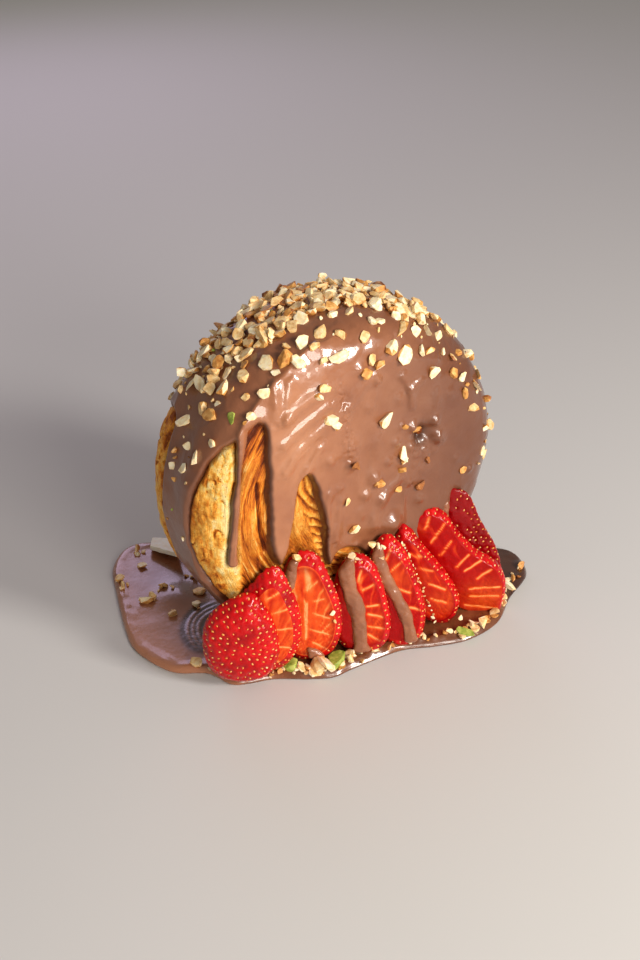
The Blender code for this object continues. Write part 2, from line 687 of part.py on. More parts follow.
def main():
    for old in list(bpy.data.objects):
        bpy.data.objects.remove(old, do_unlink=True)
    roll = croissant()
    slices = []
    for name, sizes in SLICES.items():
        piece = strawberry_slice(name, **sizes)
        clear_of_roll(piece, SLICE_ROOM)
        slices.append(piece)
    flake = white_flake()
    coat = chocolate_coat(roll, tree_of(slices))
    pool = sauce_pool(tree_of([roll, coat, flake, *slices]))
    parts = [roll, coat, pool, flake, *slices]
    centre_all(parts)
    for part in parts:
        print(part.name, len(part.data.polygons), "faces")


main()
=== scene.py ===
# %% [markdown]
# # A croissant roll dipped in milk chocolate
# The real one is a strip of laminated dough, coiled up and baked inside a ring. It comes out as a thick
# disc with round shoulders. Here it stands on its rim, half dipped in milk chocolate, with chopped
# hazelnuts on top and eight strawberry slices leaning on its front.
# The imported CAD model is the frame. Each piece below is made around it, in the same place and size.

# %% Load the frame
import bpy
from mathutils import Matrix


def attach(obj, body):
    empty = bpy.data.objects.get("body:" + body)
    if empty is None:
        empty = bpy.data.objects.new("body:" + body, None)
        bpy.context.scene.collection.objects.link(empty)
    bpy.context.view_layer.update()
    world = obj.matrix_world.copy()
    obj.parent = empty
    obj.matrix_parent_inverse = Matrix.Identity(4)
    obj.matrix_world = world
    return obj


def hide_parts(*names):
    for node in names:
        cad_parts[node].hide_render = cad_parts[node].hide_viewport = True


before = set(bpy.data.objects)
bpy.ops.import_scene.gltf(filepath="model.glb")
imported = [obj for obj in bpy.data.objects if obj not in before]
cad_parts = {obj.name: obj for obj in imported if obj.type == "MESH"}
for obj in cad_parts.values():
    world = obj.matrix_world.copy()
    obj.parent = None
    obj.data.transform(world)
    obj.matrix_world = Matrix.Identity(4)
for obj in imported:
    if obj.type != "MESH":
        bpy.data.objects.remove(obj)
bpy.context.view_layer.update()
print("CAD nodes:", ", ".join(sorted(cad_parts)))

# %% [markdown]
# Everything is worked out in millimetres from the foot of the roll, because cakes are measured that way.
# Blender works in metres, so the numbers are scaled once, when a mesh is made.

# %% Units and the foot of the roll
import math
import bmesh
import bpy
import numpy as np
from mathutils import Matrix, Vector
from mathutils.bvhtree import BVHTree

MM = 0.001
# The origin is the middle of the CAD box. The roll stands a little to its left, and in front of it
ROLL_FOOT = Vector((-2.637, -10.33, 0.0)) * MM
print("The roll stands at", [round(v, 5) for v in ROLL_FOOT])

# %% [markdown]
# The camera looks down at the roll from its front left, as a guest at the table does. It is placed by its
# distance and two angles, so each number means something. The lens is long, which keeps the disc round.

# %% Camera
LOOK_DOWN, FROM_LEFT, DISTANCE = math.radians(30.2), math.radians(33.8), 0.4188
AXIS_HEIGHT = 55.0
FILM_HEIGHT = 36.0
# In parts of the picture's height: the focal length, and how far the middle lies off centre
FOCAL, SHIFT = 1333 / 960, (-5.9 / 960, -20 / 960)
away = Vector((
    -math.sin(FROM_LEFT) * math.cos(LOOK_DOWN),
    -math.cos(FROM_LEFT) * math.cos(LOOK_DOWN),
    math.sin(LOOK_DOWN),
))
camera = bpy.data.objects.new("camera", bpy.data.cameras.new("camera"))
bpy.context.scene.collection.objects.link(camera)
camera.location = ROLL_FOOT + Vector((0, 0, AXIS_HEIGHT * MM)) + away * DISTANCE
camera.rotation_euler = (-away).to_track_quat("-Z", "Y").to_euler()
camera.data.sensor_fit = "VERTICAL"
camera.data.sensor_height = FILM_HEIGHT
camera.data.lens = FILM_HEIGHT * FOCAL
camera.data.shift_x, camera.data.shift_y = SHIFT
camera.data.clip_start = 0.01
bpy.context.scene.camera = camera
print("Camera at", [round(v, 3) for v in camera.location])

# %% [markdown]
# The table is a plain pale plane. The room is plain too: a warm window at the front right, a second one in
# front that draws the long streaks on the folds, and a lilac wall behind, which the pool mirrors.
# Panels are used instead of small lamps because melted chocolate shows the shape of whatever lights it.

# %% Table and light
LAMPS_FACE = Vector((0, 0, 0.05))


def finish_named(name, base, roughness):
    """A new material with its Principled shader, ready for more nodes."""
    made = bpy.data.materials.new(name)
    made.use_nodes = True
    shader = made.node_tree.nodes["Principled BSDF"]
    shader.inputs["Base Color"].default_value = (*base, 1)
    shader.inputs["Roughness"].default_value = roughness
    return made, made.node_tree, shader


def panel(name, toward, distance, size, radiance, colour):
    """A rectangular lamp that faces the roll from a direction. Its power follows from its brightness."""
    lamp = bpy.data.lights.new(name, "AREA")
    lamp.shape, lamp.size, lamp.size_y = "RECTANGLE", size[0], size[1]
    lamp.energy = radiance * math.pi * size[0] * size[1]
    lamp.color = colour
    hung = bpy.data.objects.new(name, lamp)
    bpy.context.scene.collection.objects.link(hung)
    direction = Vector(toward).normalized()
    hung.location = LAMPS_FACE + direction * distance
    hung.rotation_euler = direction.to_track_quat("Z", "Y").to_euler()


TABLE_HALF = 3
table_paint, _, _ = finish_named("table_paint", (0.62, 0.61, 0.60), 0.7)
table_mesh = bpy.data.meshes.new("table")
table_corners = [(x * TABLE_HALF, y * TABLE_HALF, 0) for x, y in ((-1, -1), (1, -1), (1, 1), (-1, 1))]
table_mesh.from_pydata(table_corners, [], [(0, 1, 2, 3)])
table_mesh.materials.append(table_paint)
table = bpy.data.objects.new("table", table_mesh)
bpy.context.scene.collection.objects.link(table)
panel("right_window", (0.36, -0.82, 0.45), 0.8, (0.17, 0.19), 48.0, (1.0, 0.95, 0.88))
panel("left_window", (-0.08, -0.93, 0.33), 0.8, (0.28, 0.25), 17.0, (1.0, 0.94, 0.86))
panel("lilac_wall", (0.20, 0.885, 0.41), 0.9, (0.41, 0.31), 2.4, (0.85, 0.68, 1.0))
room = bpy.data.worlds.new("room")
room.use_nodes = True
soft_light = room.node_tree.nodes["Background"]
soft_light.inputs["Color"].default_value = (1.0, 0.93, 0.86, 1)
soft_light.inputs["Strength"].default_value = 0.30
bpy.context.scene.world = room
bpy.context.scene.view_settings.view_transform = "Standard"
print("Three panels and a soft room")

# %% [markdown]
# Real food has no even surface. The reliefs below use one smooth random field, made from a table of
# random numbers at the corners of a grid of cells. It is written here instead of taken from a texture,
# so that the same bumps can shape the mesh, colour it, and tell where the nuts may lie.

# %% A random field
TABLE_SIZE = 1 << 16
RANDOM_TABLE = np.random.default_rng(11).uniform(-1, 1, (TABLE_SIZE, 4))


def hashed(cells, seed):
    """A row number of the random table for each cell of a grid."""
    mixed = (cells[..., 0] * 73856093) ^ (cells[..., 1] * 19349663) ^ (cells[..., 2] * 83492791)
    return (mixed ^ (seed * 668265263)) & (TABLE_SIZE - 1)


def noise(points, size, seed=0):
    """Smooth random heights from -1 to 1, with bumps about this many millimetres across."""
    cell = points / size
    base = np.floor(cell).astype(np.int64)
    part = cell - base
    part = part * part * (3 - 2 * part)
    total = np.zeros(len(points))
    for corner in np.ndindex(2, 2, 2):
        weight = np.prod(np.where(np.array(corner) == 1, part, 1 - part), axis=1)
        total += weight * RANDOM_TABLE[hashed(base + np.array(corner), seed), 0]
    return total


def bubbles(points, size, seed=0):
    """Round blisters from 0 between them to 1 on top, about this many millimetres apart."""
    cell = points / size
    base = np.floor(cell).astype(np.int64)
    nearest = np.full(len(points), 9.0)
    for corner in np.ndindex(3, 3, 3):
        lattice = base + np.array(corner) - 1
        centre = lattice + 0.5 + 0.42 * RANDOM_TABLE[hashed(lattice, seed)][:, :3]
        nearest = np.minimum(nearest, ((cell - centre) ** 2).sum(1))
    return np.clip(1 - nearest / 0.45, 0, 1)


sample = np.random.default_rng(1).uniform(0, 90, (2000, 3))
print("Noise from", noise(sample, 5).min().round(2), "to", noise(sample, 5).max().round(2))

# %% [markdown]
# Two soft curves shape nearly everything: a climb from 0 to 1, and a bell that falls away round a place.

# %% Soft steps and bells
def smooth_step(value, low, high):
    """0 below low, 1 above high, and a soft climb between them."""
    t = np.clip((value - low) / (high - low), 0, 1)
    return t * t * (3 - 2 * t)


def bell(distance, reach):
    """1 at no distance, and about a third at the reach."""
    return np.exp(-((distance / reach) ** 2))


def patch(x, z, centre, reach):
    """A bell round a place on a plane, with a reach across and a reach up."""
    return np.exp(-(((x - centre[0]) / reach[0]) ** 2) - ((z - centre[1]) / reach[1]) ** 2)


# %% [markdown]
# The roll is a disc whose section is flat in front, then a round shoulder, then the rim. A place on it is
# an angle round the axis and a path, the distance walked from the centre of the front face over the rim
# to the centre of the back. Walking keeps the chocolate's drips the same width over the shoulder.

# %% The roll's even surface
RIM_RADIUS, HALF_WIDTH, SHOULDER = 55.0, 21.7, 14.5
FACE_FLAT = RIM_RADIUS - SHOULDER
HALF_PATH = FACE_FLAT + SHOULDER * math.pi / 2 + HALF_WIDTH - SHOULDER


def from_centre(path):
    """How far a place lies from the centre of the face that it is nearer to."""
    return np.minimum(path, 2 * HALF_PATH - path)


def profile(path):
    """Radius, y and outward direction along the roll's section, from the front centre to the back one."""
    near = from_centre(path)
    turn = np.clip((near - FACE_FLAT) / SHOULDER, 0, math.pi / 2)
    radius = np.minimum(near, FACE_FLAT) + SHOULDER * np.sin(turn)
    along_rim = np.maximum(near - FACE_FLAT - SHOULDER * math.pi / 2, 0)
    y = -HALF_WIDTH + SHOULDER * (1 - np.cos(turn)) + along_rim
    side = np.where(path > HALF_PATH, -1.0, 1.0)
    return radius, y * side, np.sin(turn), -np.cos(turn) * side


def outward(angle, path):
    """The way out of the surface at a place."""
    _, _, out_radial, out_y = profile(path)
    return np.stack([out_radial * np.cos(angle), out_y, out_radial * np.sin(angle)], axis=-1)


def on_roll(angle, path, height=0.0):
    """Points at a height over the chocolate's even surface. The angle runs from +X towards +Z."""
    radius, y, _, _ = profile(path)
    even = np.stack([radius * np.cos(angle), y, AXIS_HEIGHT + radius * np.sin(angle)], axis=-1)
    return even + np.asarray(height)[..., None] * outward(angle, path)


def face_place(angle, path, back=False):
    """Place on the front or back face, with the shoulder and rim laid flat around it."""
    reach = 2 * HALF_PATH - path if back else path
    return np.stack([reach * np.cos(angle), reach * np.sin(angle)], axis=-1)


print("From the centre to the middle of the rim:", round(HALF_PATH, 1), "mm")

# %% [markdown]
# A grid of rings and spokes crowds its points at the centre. Instead, each ring gets as many points as
# its length needs, and neighbouring rings are stitched with triangles, like a knitted hat.

# %% Stitch rings of different lengths
def stitch(rings):
    """Vertices and triangles of a skin through rings of points that all start at the same side."""
    starts = np.cumsum([0] + [len(ring) for ring in rings])
    triangles = []
    for level in range(len(rings) - 1):
        n, m = len(rings[level]), len(rings[level + 1])
        low, high = starts[level], starts[level + 1]
        if n > 1:
            i = np.arange(n)
            apex = -(-(i + 1) * m // n) - 1
            triangles.append(np.stack([low + i, low + (i + 1) % n, high + apex % m], axis=1))
        if m > 1:
            j = np.arange(m)
            apex = (j + 1) * n // m
            triangles.append(np.stack([high + (j + 1) % m, high + j, low + apex % n], axis=1))
    return np.vstack(rings), np.vstack(triangles)


def face_out(vertices, triangles):
    """The same triangles, turned so that they face out of the closed skin."""
    a, b, c = (vertices[triangles[:, k]] for k in range(3))
    volume = (a * np.cross(b, c)).sum() / 6
    return triangles if volume > 0 else triangles[:, ::-1]


STEP_GROWS_OVER = 25


def roll_grid(front_step, back_step):
    """Angle and path of each point, ring by ring, closer together on the front than on the back."""
    def step_at(path):
        behind = smooth_step(path, HALF_PATH, HALF_PATH + STEP_GROWS_OVER)
        return front_step + (back_step - front_step) * float(behind)

    path, grid = 0.0, [(np.zeros(1), np.zeros(1))]
    while True:
        path += step_at(path)
        if path > 2 * HALF_PATH - 0.6 * back_step:
            break
        count = max(6, round(2 * math.pi * float(profile(np.array(path))[0]) / step_at(path)))
        grid.append((-math.pi + 2 * math.pi * np.arange(count) / count, np.full(count, path)))
    grid.append((np.zeros(1), np.full(1, 2 * HALF_PATH)))
    return grid


print("A coarse roll has", len(roll_grid(4.0, 8.0)), "rings")

# %% [markdown]
# Every piece is made by one helper, so all stand in the same place and ride on the part's only body.
# Masks are painted on vertices, because the numbers that shaped the mesh know where it is thin or dark.

# %% Make a piece
def make_piece(name, vertices, faces, finishes, kinds=None, smooth=True):
    """A named mesh piece from millimetres, riding on the part's only body."""
    mesh = bpy.data.meshes.new(name)
    metres = np.asarray(vertices) * MM
    mesh.from_pydata(metres.tolist(), [], [list(map(int, face)) for face in faces])
    for finish in finishes:
        mesh.materials.append(finish)
    if kinds is not None:
        mesh.polygons.foreach_set("material_index", np.asarray(kinds, dtype=np.int32))
    mesh.polygons.foreach_set("use_smooth", [smooth] * len(mesh.polygons))
    mesh.update()
    piece = bpy.data.objects.new(name, mesh)
    bpy.context.scene.collection.objects.link(piece)
    piece.location = ROLL_FOOT
    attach(piece, "root")
    print(name, len(mesh.polygons), "faces")
    return piece


def paint(piece, name, values):
    """Store one colour for each vertex, which the finish can read as masks."""
    layer = piece.data.color_attributes.new(name, "FLOAT_COLOR", "POINT")
    rows = np.ones((len(values), 4))
    rows[:, :3] = np.clip(values, 0, 1)
    layer.data.foreach_set("color", rows.ravel())


# %% [markdown]
# ## Finishes
# Four effects return in the finishes: an uneven tone, a fine relief, fine specks, and the dough's layers,
# which follow the coil because they are noise on the unrolled surface. Each is made once as a node group
# with its own sockets, and each finish sets its size. The groups only put out values that change over the
# surface, and the shader stays in the finish itself.

# %% Helpers for nodes
def fill(tree, socket, value):
    """Set a socket to a value, or link it where the value comes out of another node."""
    if isinstance(value, bpy.types.NodeSocket):
        tree.links.new(value, socket)
    else:
        socket.default_value = value


def add(tree, kind, inputs=None, **settings):
    """A new node, with its settings made and its inputs filled."""
    made = tree.nodes.new("ShaderNode" + kind)
    for key, value in settings.items():
        setattr(made, key, value)
    for key, value in (inputs or {}).items():
        fill(tree, made.inputs[key], value)
    return made


def reckon(tree, operation, *values):
    """One step of arithmetic, and what comes out of it."""
    return add(tree, "Math", dict(enumerate(values)), operation=operation).outputs[0]


def new_group(name, inputs, outputs):
    """A node group with named value sockets, its input and output nodes ready."""
    made = bpy.data.node_groups.new(name, "ShaderNodeTree")
    for label, value in inputs:
        socket = made.interface.new_socket(label, in_out="INPUT", socket_type="NodeSocketFloat")
        socket.default_value = value
    for label in outputs:
        made.interface.new_socket(label, in_out="OUTPUT", socket_type="NodeSocketFloat")
    return made, made.nodes.new("NodeGroupInput"), made.nodes.new("NodeGroupOutput")


def scaled_place(tree, size):
    """The place on the piece, measured in patches of this size in millimetres."""
    place = add(tree, "TexCoord")
    moved = add(tree, "VectorMath", {0: place.outputs["Object"]}, operation="SCALE")
    tree.links.new(reckon(tree, "DIVIDE", 1 / MM, size), moved.inputs["Scale"])
    return moved.outputs[0]


# %% Helpers for colours
def linear(red, green, blue):
    """A colour as read from a screen, from 0 to 255, in the linear values that shaders use."""
    screen = red / 255, green / 255, blue / 255
    return tuple(v / 12.92 if v <= 0.04045 else ((v + 0.055) / 1.055) ** 2.4 for v in screen)


def ramp(tree, factor, stops):
    """A colour that follows a value through the given stops."""
    made = add(tree, "ValToRGB", {"Fac": factor})
    elements = made.color_ramp.elements
    while len(elements) < len(stops):
        elements.new(0.5)
    for element, (place, shade) in zip(elements, stops):
        element.position, element.color = place, (*linear(*shade), 1)
    return made.outputs["Color"]


# A Mix node keeps a set of sockets for each kind of value. These are the ones for colours
MIX_FACTOR, MIX_FIRST, MIX_SECOND, MIX_RESULT = 0, 6, 7, 2


def blend(tree, factor, first, second, how="MIX"):
    """Mix two colours by a value."""
    made = add(tree, "Mix", data_type="RGBA", blend_type=how)
    fill(tree, made.inputs[MIX_FACTOR], factor)
    for place, colour in ((MIX_FIRST, first), (MIX_SECOND, second)):
        from_node = isinstance(colour, bpy.types.NodeSocket)
        fill(tree, made.inputs[place], colour if from_node else (*colour, 1))
    return made.outputs[MIX_RESULT]


# %% [markdown]
# Food is never one flat colour. Colours and roughness follow patches that run from 0 to 1.

# %% Uneven tone
uneven_tone, inlet, outlet = new_group("uneven_tone", [("Size", 10.0), ("Contrast", 1.0)], ["Tone"])
place = scaled_place(uneven_tone, inlet.outputs["Size"])
patches = {"Vector": place, "Scale": 1.0, "Detail": 3.0, "Roughness": 0.6}
spread = add(uneven_tone, "TexNoise", patches).outputs["Fac"]
centred = reckon(uneven_tone, "SUBTRACT", spread, 0.5)
stronger = reckon(uneven_tone, "MULTIPLY_ADD", centred, inlet.outputs["Contrast"], 0.5)
held = add(uneven_tone, "Clamp", {"Value": stronger})
uneven_tone.links.new(held.outputs[0], outlet.inputs["Tone"])
print("Group uneven_tone has", len(uneven_tone.nodes), "nodes")

# %% [markdown]
# The finest grain would cost millions of faces, so it is a height that only bends the light.

# %% Fine relief
fine_relief, inlet, outlet = new_group("fine_relief", [("Size", 1.0), ("Ripple", 0.3)], ["Height"])
place = scaled_place(fine_relief, inlet.outputs["Size"])
grains = {"Vector": place, "Scale": 1.0, "Detail": 4.0, "Roughness": 0.55}
grain = add(fine_relief, "TexNoise", grains).outputs["Fac"]
slow = add(fine_relief, "TexNoise", {"Vector": place, "Scale": 0.31, "Detail": 1.0}).outputs["Fac"]
joined = reckon(fine_relief, "MULTIPLY_ADD", slow, inlet.outputs["Ripple"], grain)
fine_relief.links.new(joined, outlet.inputs["Height"])
print("Group fine_relief has", len(fine_relief.nodes), "nodes")

# %% [markdown]
# Baked dough is freckled. A texture of cells holds one freckle in each, with a soft edge.

# %% Specks
SOFT_EDGE = 0.6
fine_specks, inlet, outlet = new_group("fine_specks", [("Size", 2.0), ("Amount", 0.2)], ["Mask"])
place = scaled_place(fine_specks, inlet.outputs["Size"])
cells = add(fine_specks, "TexVoronoi", {"Vector": place, "Scale": 1.0, "Randomness": 1.0})
amount = inlet.outputs["Amount"]
inner = reckon(fine_specks, "MULTIPLY", amount, SOFT_EDGE)
edges = {"Value": cells.outputs["Distance"], "From Min": amount, "From Max": inner}
dots = add(fine_specks, "MapRange", edges)
fine_specks.links.new(dots.outputs[0], outlet.inputs["Mask"])
print("Group fine_specks has", len(fine_specks.nodes), "nodes")

# %% [markdown]
# Butter layers run round the coil. The group unrolls the surface, and stretches the noise along the arc.

# %% Layers along the coil
COIL_WALK = 38.0
coil_layers, inlet, outlet = new_group("coil_layers", [("Size", 0.8), ("Length", 12.0)], ["Layer"])
parts = add(coil_layers, "SeparateXYZ", {"Vector": add(coil_layers, "TexCoord").outputs["Object"]}).outputs
below = reckon(coil_layers, "SUBTRACT", AXIS_HEIGHT * MM, parts["Z"])
spoke = add(coil_layers, "CombineXYZ", {"X": parts["X"], "Z": below})
reach = add(coil_layers, "VectorMath", {0: spoke.outputs[0]}, operation="LENGTH").outputs["Value"]
walk_mm = reckon(coil_layers, "MULTIPLY", reckon(coil_layers, "ADD", reach, parts["Y"]), 1 / MM)
across = reckon(coil_layers, "DIVIDE", walk_mm, inlet.outputs["Size"])
turn = reckon(coil_layers, "ARCTAN2", parts["X"], below)
arc_mm = reckon(coil_layers, "MULTIPLY", turn, COIL_WALK)
along = reckon(coil_layers, "DIVIDE", arc_mm, inlet.outputs["Length"])
unrolled = add(coil_layers, "CombineXYZ", {"X": across, "Y": along}).outputs[0]
strata = {"Vector": unrolled, "Scale": 1.0, "Detail": 3.0, "Roughness": 0.6, "Distortion": 0.4}
layers = add(coil_layers, "TexNoise", strata)
coil_layers.links.new(layers.outputs["Fac"], outlet.inputs["Layer"])
print("Group coil_layers has", len(coil_layers.nodes), "nodes")

# %% [markdown]
# These helpers place the groups, read a mesh's masks and set the shader, so a finish reads like a recipe.

# %% Helpers for finishes
def effect(tree, group, output, **values):
    """Place one of the shared effects in a finish, and return the value that it puts out."""
    made = tree.nodes.new("ShaderNodeGroup")
    made.node_tree = group
    for key, value in values.items():
        made.inputs[key].default_value = value
    return made.outputs[output]


def tone_of(tree, size, contrast):
    """Patches of tone this many millimetres across."""
    return effect(tree, uneven_tone, "Tone", Size=size, Contrast=contrast)


def relief_of(tree, size, ripple):
    """Grain this many millimetres across, with some slower ripple."""
    return effect(tree, fine_relief, "Height", Size=size, Ripple=ripple)


def masks_of(tree, name):
    """The masks that the mesh carries under a name, as Red, Green and Blue."""
    carried = add(tree, "Attribute", attribute_name=name)
    return add(tree, "SeparateColor", {"Color": carried.outputs["Color"]}).outputs


def settle(shader, **values):
    """Set the shader's own sockets. An underscore stands for a space in a socket's name."""
    for key, value in values.items():
        shader.inputs[key.replace("_", " ")].default_value = value


def coloured(tree, shader, colour):
    """Feed a colour in to a shader."""
    tree.links.new(colour, shader.inputs["Base Color"])


def roughened(tree, shader, tone, low, high):
    """Let a tone carry the shader's roughness from low to high."""
    spread = add(tree, "MapRange", {"Value": tone, "To Min": low, "To Max": high})
    tree.links.new(spread.outputs[0], shader.inputs["Roughness"])


def bumped(tree, shader, height, distance):
    """Feed a height in to a shader's normal, as deep as the distance in millimetres."""
    made = add(tree, "Bump", {"Height": height, "Distance": distance * MM, "Strength": 1.0})
    tree.links.new(made.outputs["Normal"], shader.inputs["Normal"])


# %% [markdown]
# Milk chocolate that is still a little warm has a satin body and a glossy skin, so the shader gets a
# moderate roughness and a thin coat over it. Three masks painted on the mesh hold painted light and shade:
# they lighten it as painted light at the upper left of the face, darken it as painted shade towards the
# right of the face, on the rim past the crease and on the shaded bank of its edge, and make it deep brown
# as painted shade in its hollow and on that bank.

# %% Milk chocolate
milk_chocolate, tree, shader = finish_named("milk_chocolate", linear(161, 99, 62), 0.34)
masks = masks_of(tree, "pour")
tone = tone_of(tree, 13.0, 1.5)
body = ramp(tree, tone, [(0.2, (148, 91, 61)), (0.5, (160, 102, 69)), (0.85, (172, 114, 80))])
# Painted light: the first mask lightens and warms the lit upper left of the face
with_painted_light = blend(tree, masks["Red"], body, linear(204, 146, 106))
# Painted shade: the second mask darkens the right of the face, the rim past the crease and the shaded bank
dark = blend(tree, masks["Green"], with_painted_light, linear(84, 44, 26))
# Painted shade: the third mask makes the hollow and the shaded bank deep brown
deep = blend(tree, masks["Blue"], dark, linear(36, 16, 8))
coloured(tree, shader, deep)
roughened(tree, shader, tone_of(tree, 4.0, 1.2), 0.26, 0.44)
settle(shader, Specular_IOR_Level=0.35, Coat_Weight=0.6, Coat_Roughness=0.07)
bumped(tree, shader, relief_of(tree, 0.9, 1.6), 0.08)
print("Milk chocolate")

# %% [markdown]
# The sauce on the floor is the same chocolate, thinner and wetter. Its first mask makes it lighter: on the
# runs because they are thin, and on the pool as painted light at its left, where light falls. Its second
# mask is painted shade on the pool, beside the roll, in the grooves of its folds and at the right, and it
# also darkens the pool towards the front.

# %% Sauce
sauce, tree, shader = finish_named("sauce", linear(128, 74, 44), 0.2)
masks = masks_of(tree, "pour")
tone = tone_of(tree, 9.0, 1.8)
body = ramp(tree, tone, [(0.15, (108, 60, 34)), (0.5, (128, 74, 44)), (0.85, (146, 88, 54))])
# Painted light on the pool's left, and the runs' own lighter colour where they are thin
light = blend(tree, masks["Red"], body, linear(186, 124, 90))
# Painted shade on the pool, which is also darker towards its front
coloured(tree, shader, blend(tree, masks["Green"], light, linear(58, 28, 14)))
roughened(tree, shader, tone_of(tree, 5.0, 1.0), 0.2, 0.36)
settle(shader, Coat_Weight=0.5, Coat_Roughness=0.08)
bumped(tree, shader, relief_of(tree, 1.6, 1.0), 0.08)
print("Sauce")

# %% [markdown]
# The crust shows two ways of baking. Where the dough pressed on its ring it is a smooth pale pillow with a
# fine grain, pits and brown mottles. Where the coil was free, the butter layers opened to thin leaves. The
# mesh carries the leaves and the grain, and paints three masks: how pale, how smooth, and how darkly baked.
# They also hold painted shade towards the pillow's left edge, in its splits and pits, in the open seam and
# in the gaps between leaves, and a painted shadow along the chocolate's edge.

# %% Crust: leaves and pressed dough
crust, tree, shader = finish_named("crust", (0.6, 0.3, 0.1), 0.6)
bake = masks_of(tree, "bake")
fine_layer = effect(tree, coil_layers, "Layer", Size=0.38, Length=4.0)
broad_layer = effect(tree, coil_layers, "Layer", Size=1.3, Length=13.0)
centred = reckon(tree, "SUBTRACT", reckon(tree, "ADD", fine_layer, broad_layer), 1.0)
leaves = ramp(tree, reckon(tree, "MULTIPLY_ADD", centred, 1.3, bake["Red"]), [
    (0.0, (78, 26, 2)), (0.24, (142, 62, 8)), (0.48, (208, 116, 26)), (0.75, (242, 160, 56)),
    (1.0, (252, 208, 126)),
])
both_mottles = reckon(tree, "ADD", tone_of(tree, 0.7, 1.8), tone_of(tree, 2.2, 1.8))
mottle = reckon(tree, "SUBTRACT", both_mottles, 1.0)
mottled = reckon(tree, "MULTIPLY_ADD", mottle, 0.36, bake["Red"])
pressed = ramp(tree, reckon(tree, "MULTIPLY_ADD", centred, 0.35, mottled), [
    (0.0, (152, 74, 8)), (0.25, (208, 120, 26)), (0.5, (244, 172, 66)), (0.75, (254, 206, 108)),
    (1.0, (255, 234, 168)),
])
mixed = blend(tree, bake["Green"], leaves, pressed)
print("Two ways of baking")

# %% Crust: freckles, browning and grain
specks = effect(tree, fine_specks, "Mask", Size=1.0, Amount=0.16)
speckled = blend(tree, specks, mixed, linear(150, 84, 30))
cloud = ramp(tree, tone_of(tree, 1.6, 2.0), [(0.1, (232, 208, 178)), (0.9, (255, 254, 248))])
toned = blend(tree, 0.6, speckled, cloud, how="MULTIPLY")
# The third mask is dark baking, with painted shade in the gaps between leaves and painted shadow along the
# chocolate's edge
coloured(tree, shader, blend(tree, bake["Blue"], toned, linear(88, 36, 10)))
roughened(tree, shader, tone_of(tree, 2.0, 1.5), 0.42, 0.72)
settle(shader, Specular_IOR_Level=0.22, Subsurface_Weight=0.08, Subsurface_Radius=(0.002, 0.001, 0.0005))
grain = reckon(tree, "MULTIPLY_ADD", fine_layer, 1.4, relief_of(tree, 0.5, 0.6))
bumped(tree, shader, grain, 0.24)
print("Crust")

# %% [markdown]
# A chopped hazelnut is cream where the knife went through, and golden or brown where it kept its roasted
# outside. Each nut below takes one finish for its cuts and another for its outside.

# %% Nuts and seeds
def nut_finish(name, low, middle, high, roughness=0.55):
    """A finish of three colours, as nuts and seeds have."""
    made, tree, shader = finish_named(name, linear(*middle), roughness)
    coloured(tree, shader, ramp(tree, tone_of(tree, 1.6, 1.8), [(0.15, low), (0.5, middle), (0.85, high)]))
    settle(shader, Subsurface_Weight=0.12, Subsurface_Radius=(0.0015, 0.0009, 0.0004))
    bumped(tree, shader, relief_of(tree, 0.5, 0.5), 0.06)
    return made


nut_cream = nut_finish("nut_cream", (212, 158, 92), (238, 200, 138), (252, 228, 178))
nut_pale = nut_finish("nut_pale", (236, 202, 148), (250, 230, 186), (255, 244, 216))
nut_golden = nut_finish("nut_golden", (178, 112, 46), (212, 150, 74), (236, 186, 112))
nut_toasted = nut_finish("nut_toasted", (112, 58, 24), (152, 90, 40), (186, 122, 62))
pistachio = nut_finish("pistachio", (112, 128, 40), (150, 164, 62), (190, 196, 96))
seed_gold = nut_finish("seed_gold", (204, 112, 40), (236, 166, 82), (254, 220, 160), 0.22)
print("Nuts and seeds")

# %% White chocolate
white_chocolate, tree, shader = finish_named("white_chocolate", (0.9, 0.84, 0.72), 0.5)
creams = [(0.2, (246, 234, 210)), (0.5, (254, 246, 228)), (0.85, (255, 253, 244))]
coloured(tree, shader, ramp(tree, tone_of(tree, 2.4, 1.6), creams))
settle(shader, Subsurface_Weight=0.2, Subsurface_Radius=(0.002, 0.0016, 0.001))
bumped(tree, shader, relief_of(tree, 0.7, 0.8), 0.08)
print("White chocolate")

# %% [markdown]
# Strawberry flesh lets light in, so it has subsurface scattering and a wet coat. The mesh paints how pale
# the flesh is along the fine threads that lead to the seeds, where it glows orange, and where it is deep red.
# Part of that deep red is painted shade: on skin turned from the light, on the last slice's skin, and on the
# flesh beside the sauce of two slices.

# %% Strawberry skin
berry_skin, tree, shader = finish_named("berry_skin", linear(200, 8, 14), 0.3)
reds = [(0.15, (150, 3, 10)), (0.5, (188, 6, 12)), (0.85, (212, 20, 18))]
skin = ramp(tree, tone_of(tree, 6.0, 1.6), reds)
# The mask darkens the skin as painted shade, on the side turned from the light and on the last slice
coloured(tree, shader, blend(tree, masks_of(tree, "flesh")["Green"], skin, linear(116, 2, 6)))
settle(shader, Specular_IOR_Level=0.15, Coat_Weight=0.3, Coat_Roughness=0.05)
settle(shader, Subsurface_Weight=0.06, Subsurface_Radius=(0.004, 0.0006, 0.0004))
bumped(tree, shader, relief_of(tree, 0.8, 0.6), 0.05)
print("Strawberry skin")

# %% Strawberry flesh
berry_flesh, tree, shader = finish_named("berry_flesh", linear(226, 40, 14), 0.36)
painted = masks_of(tree, "flesh")
threads = ramp(tree, painted["Red"], [
    (0.0, (172, 4, 2)), (0.25, (196, 18, 6)), (0.5, (226, 70, 22)), (0.75, (246, 132, 62)),
    (1.0, (255, 204, 140)),
])
glowing = blend(tree, painted["Blue"], threads, linear(240, 100, 34))
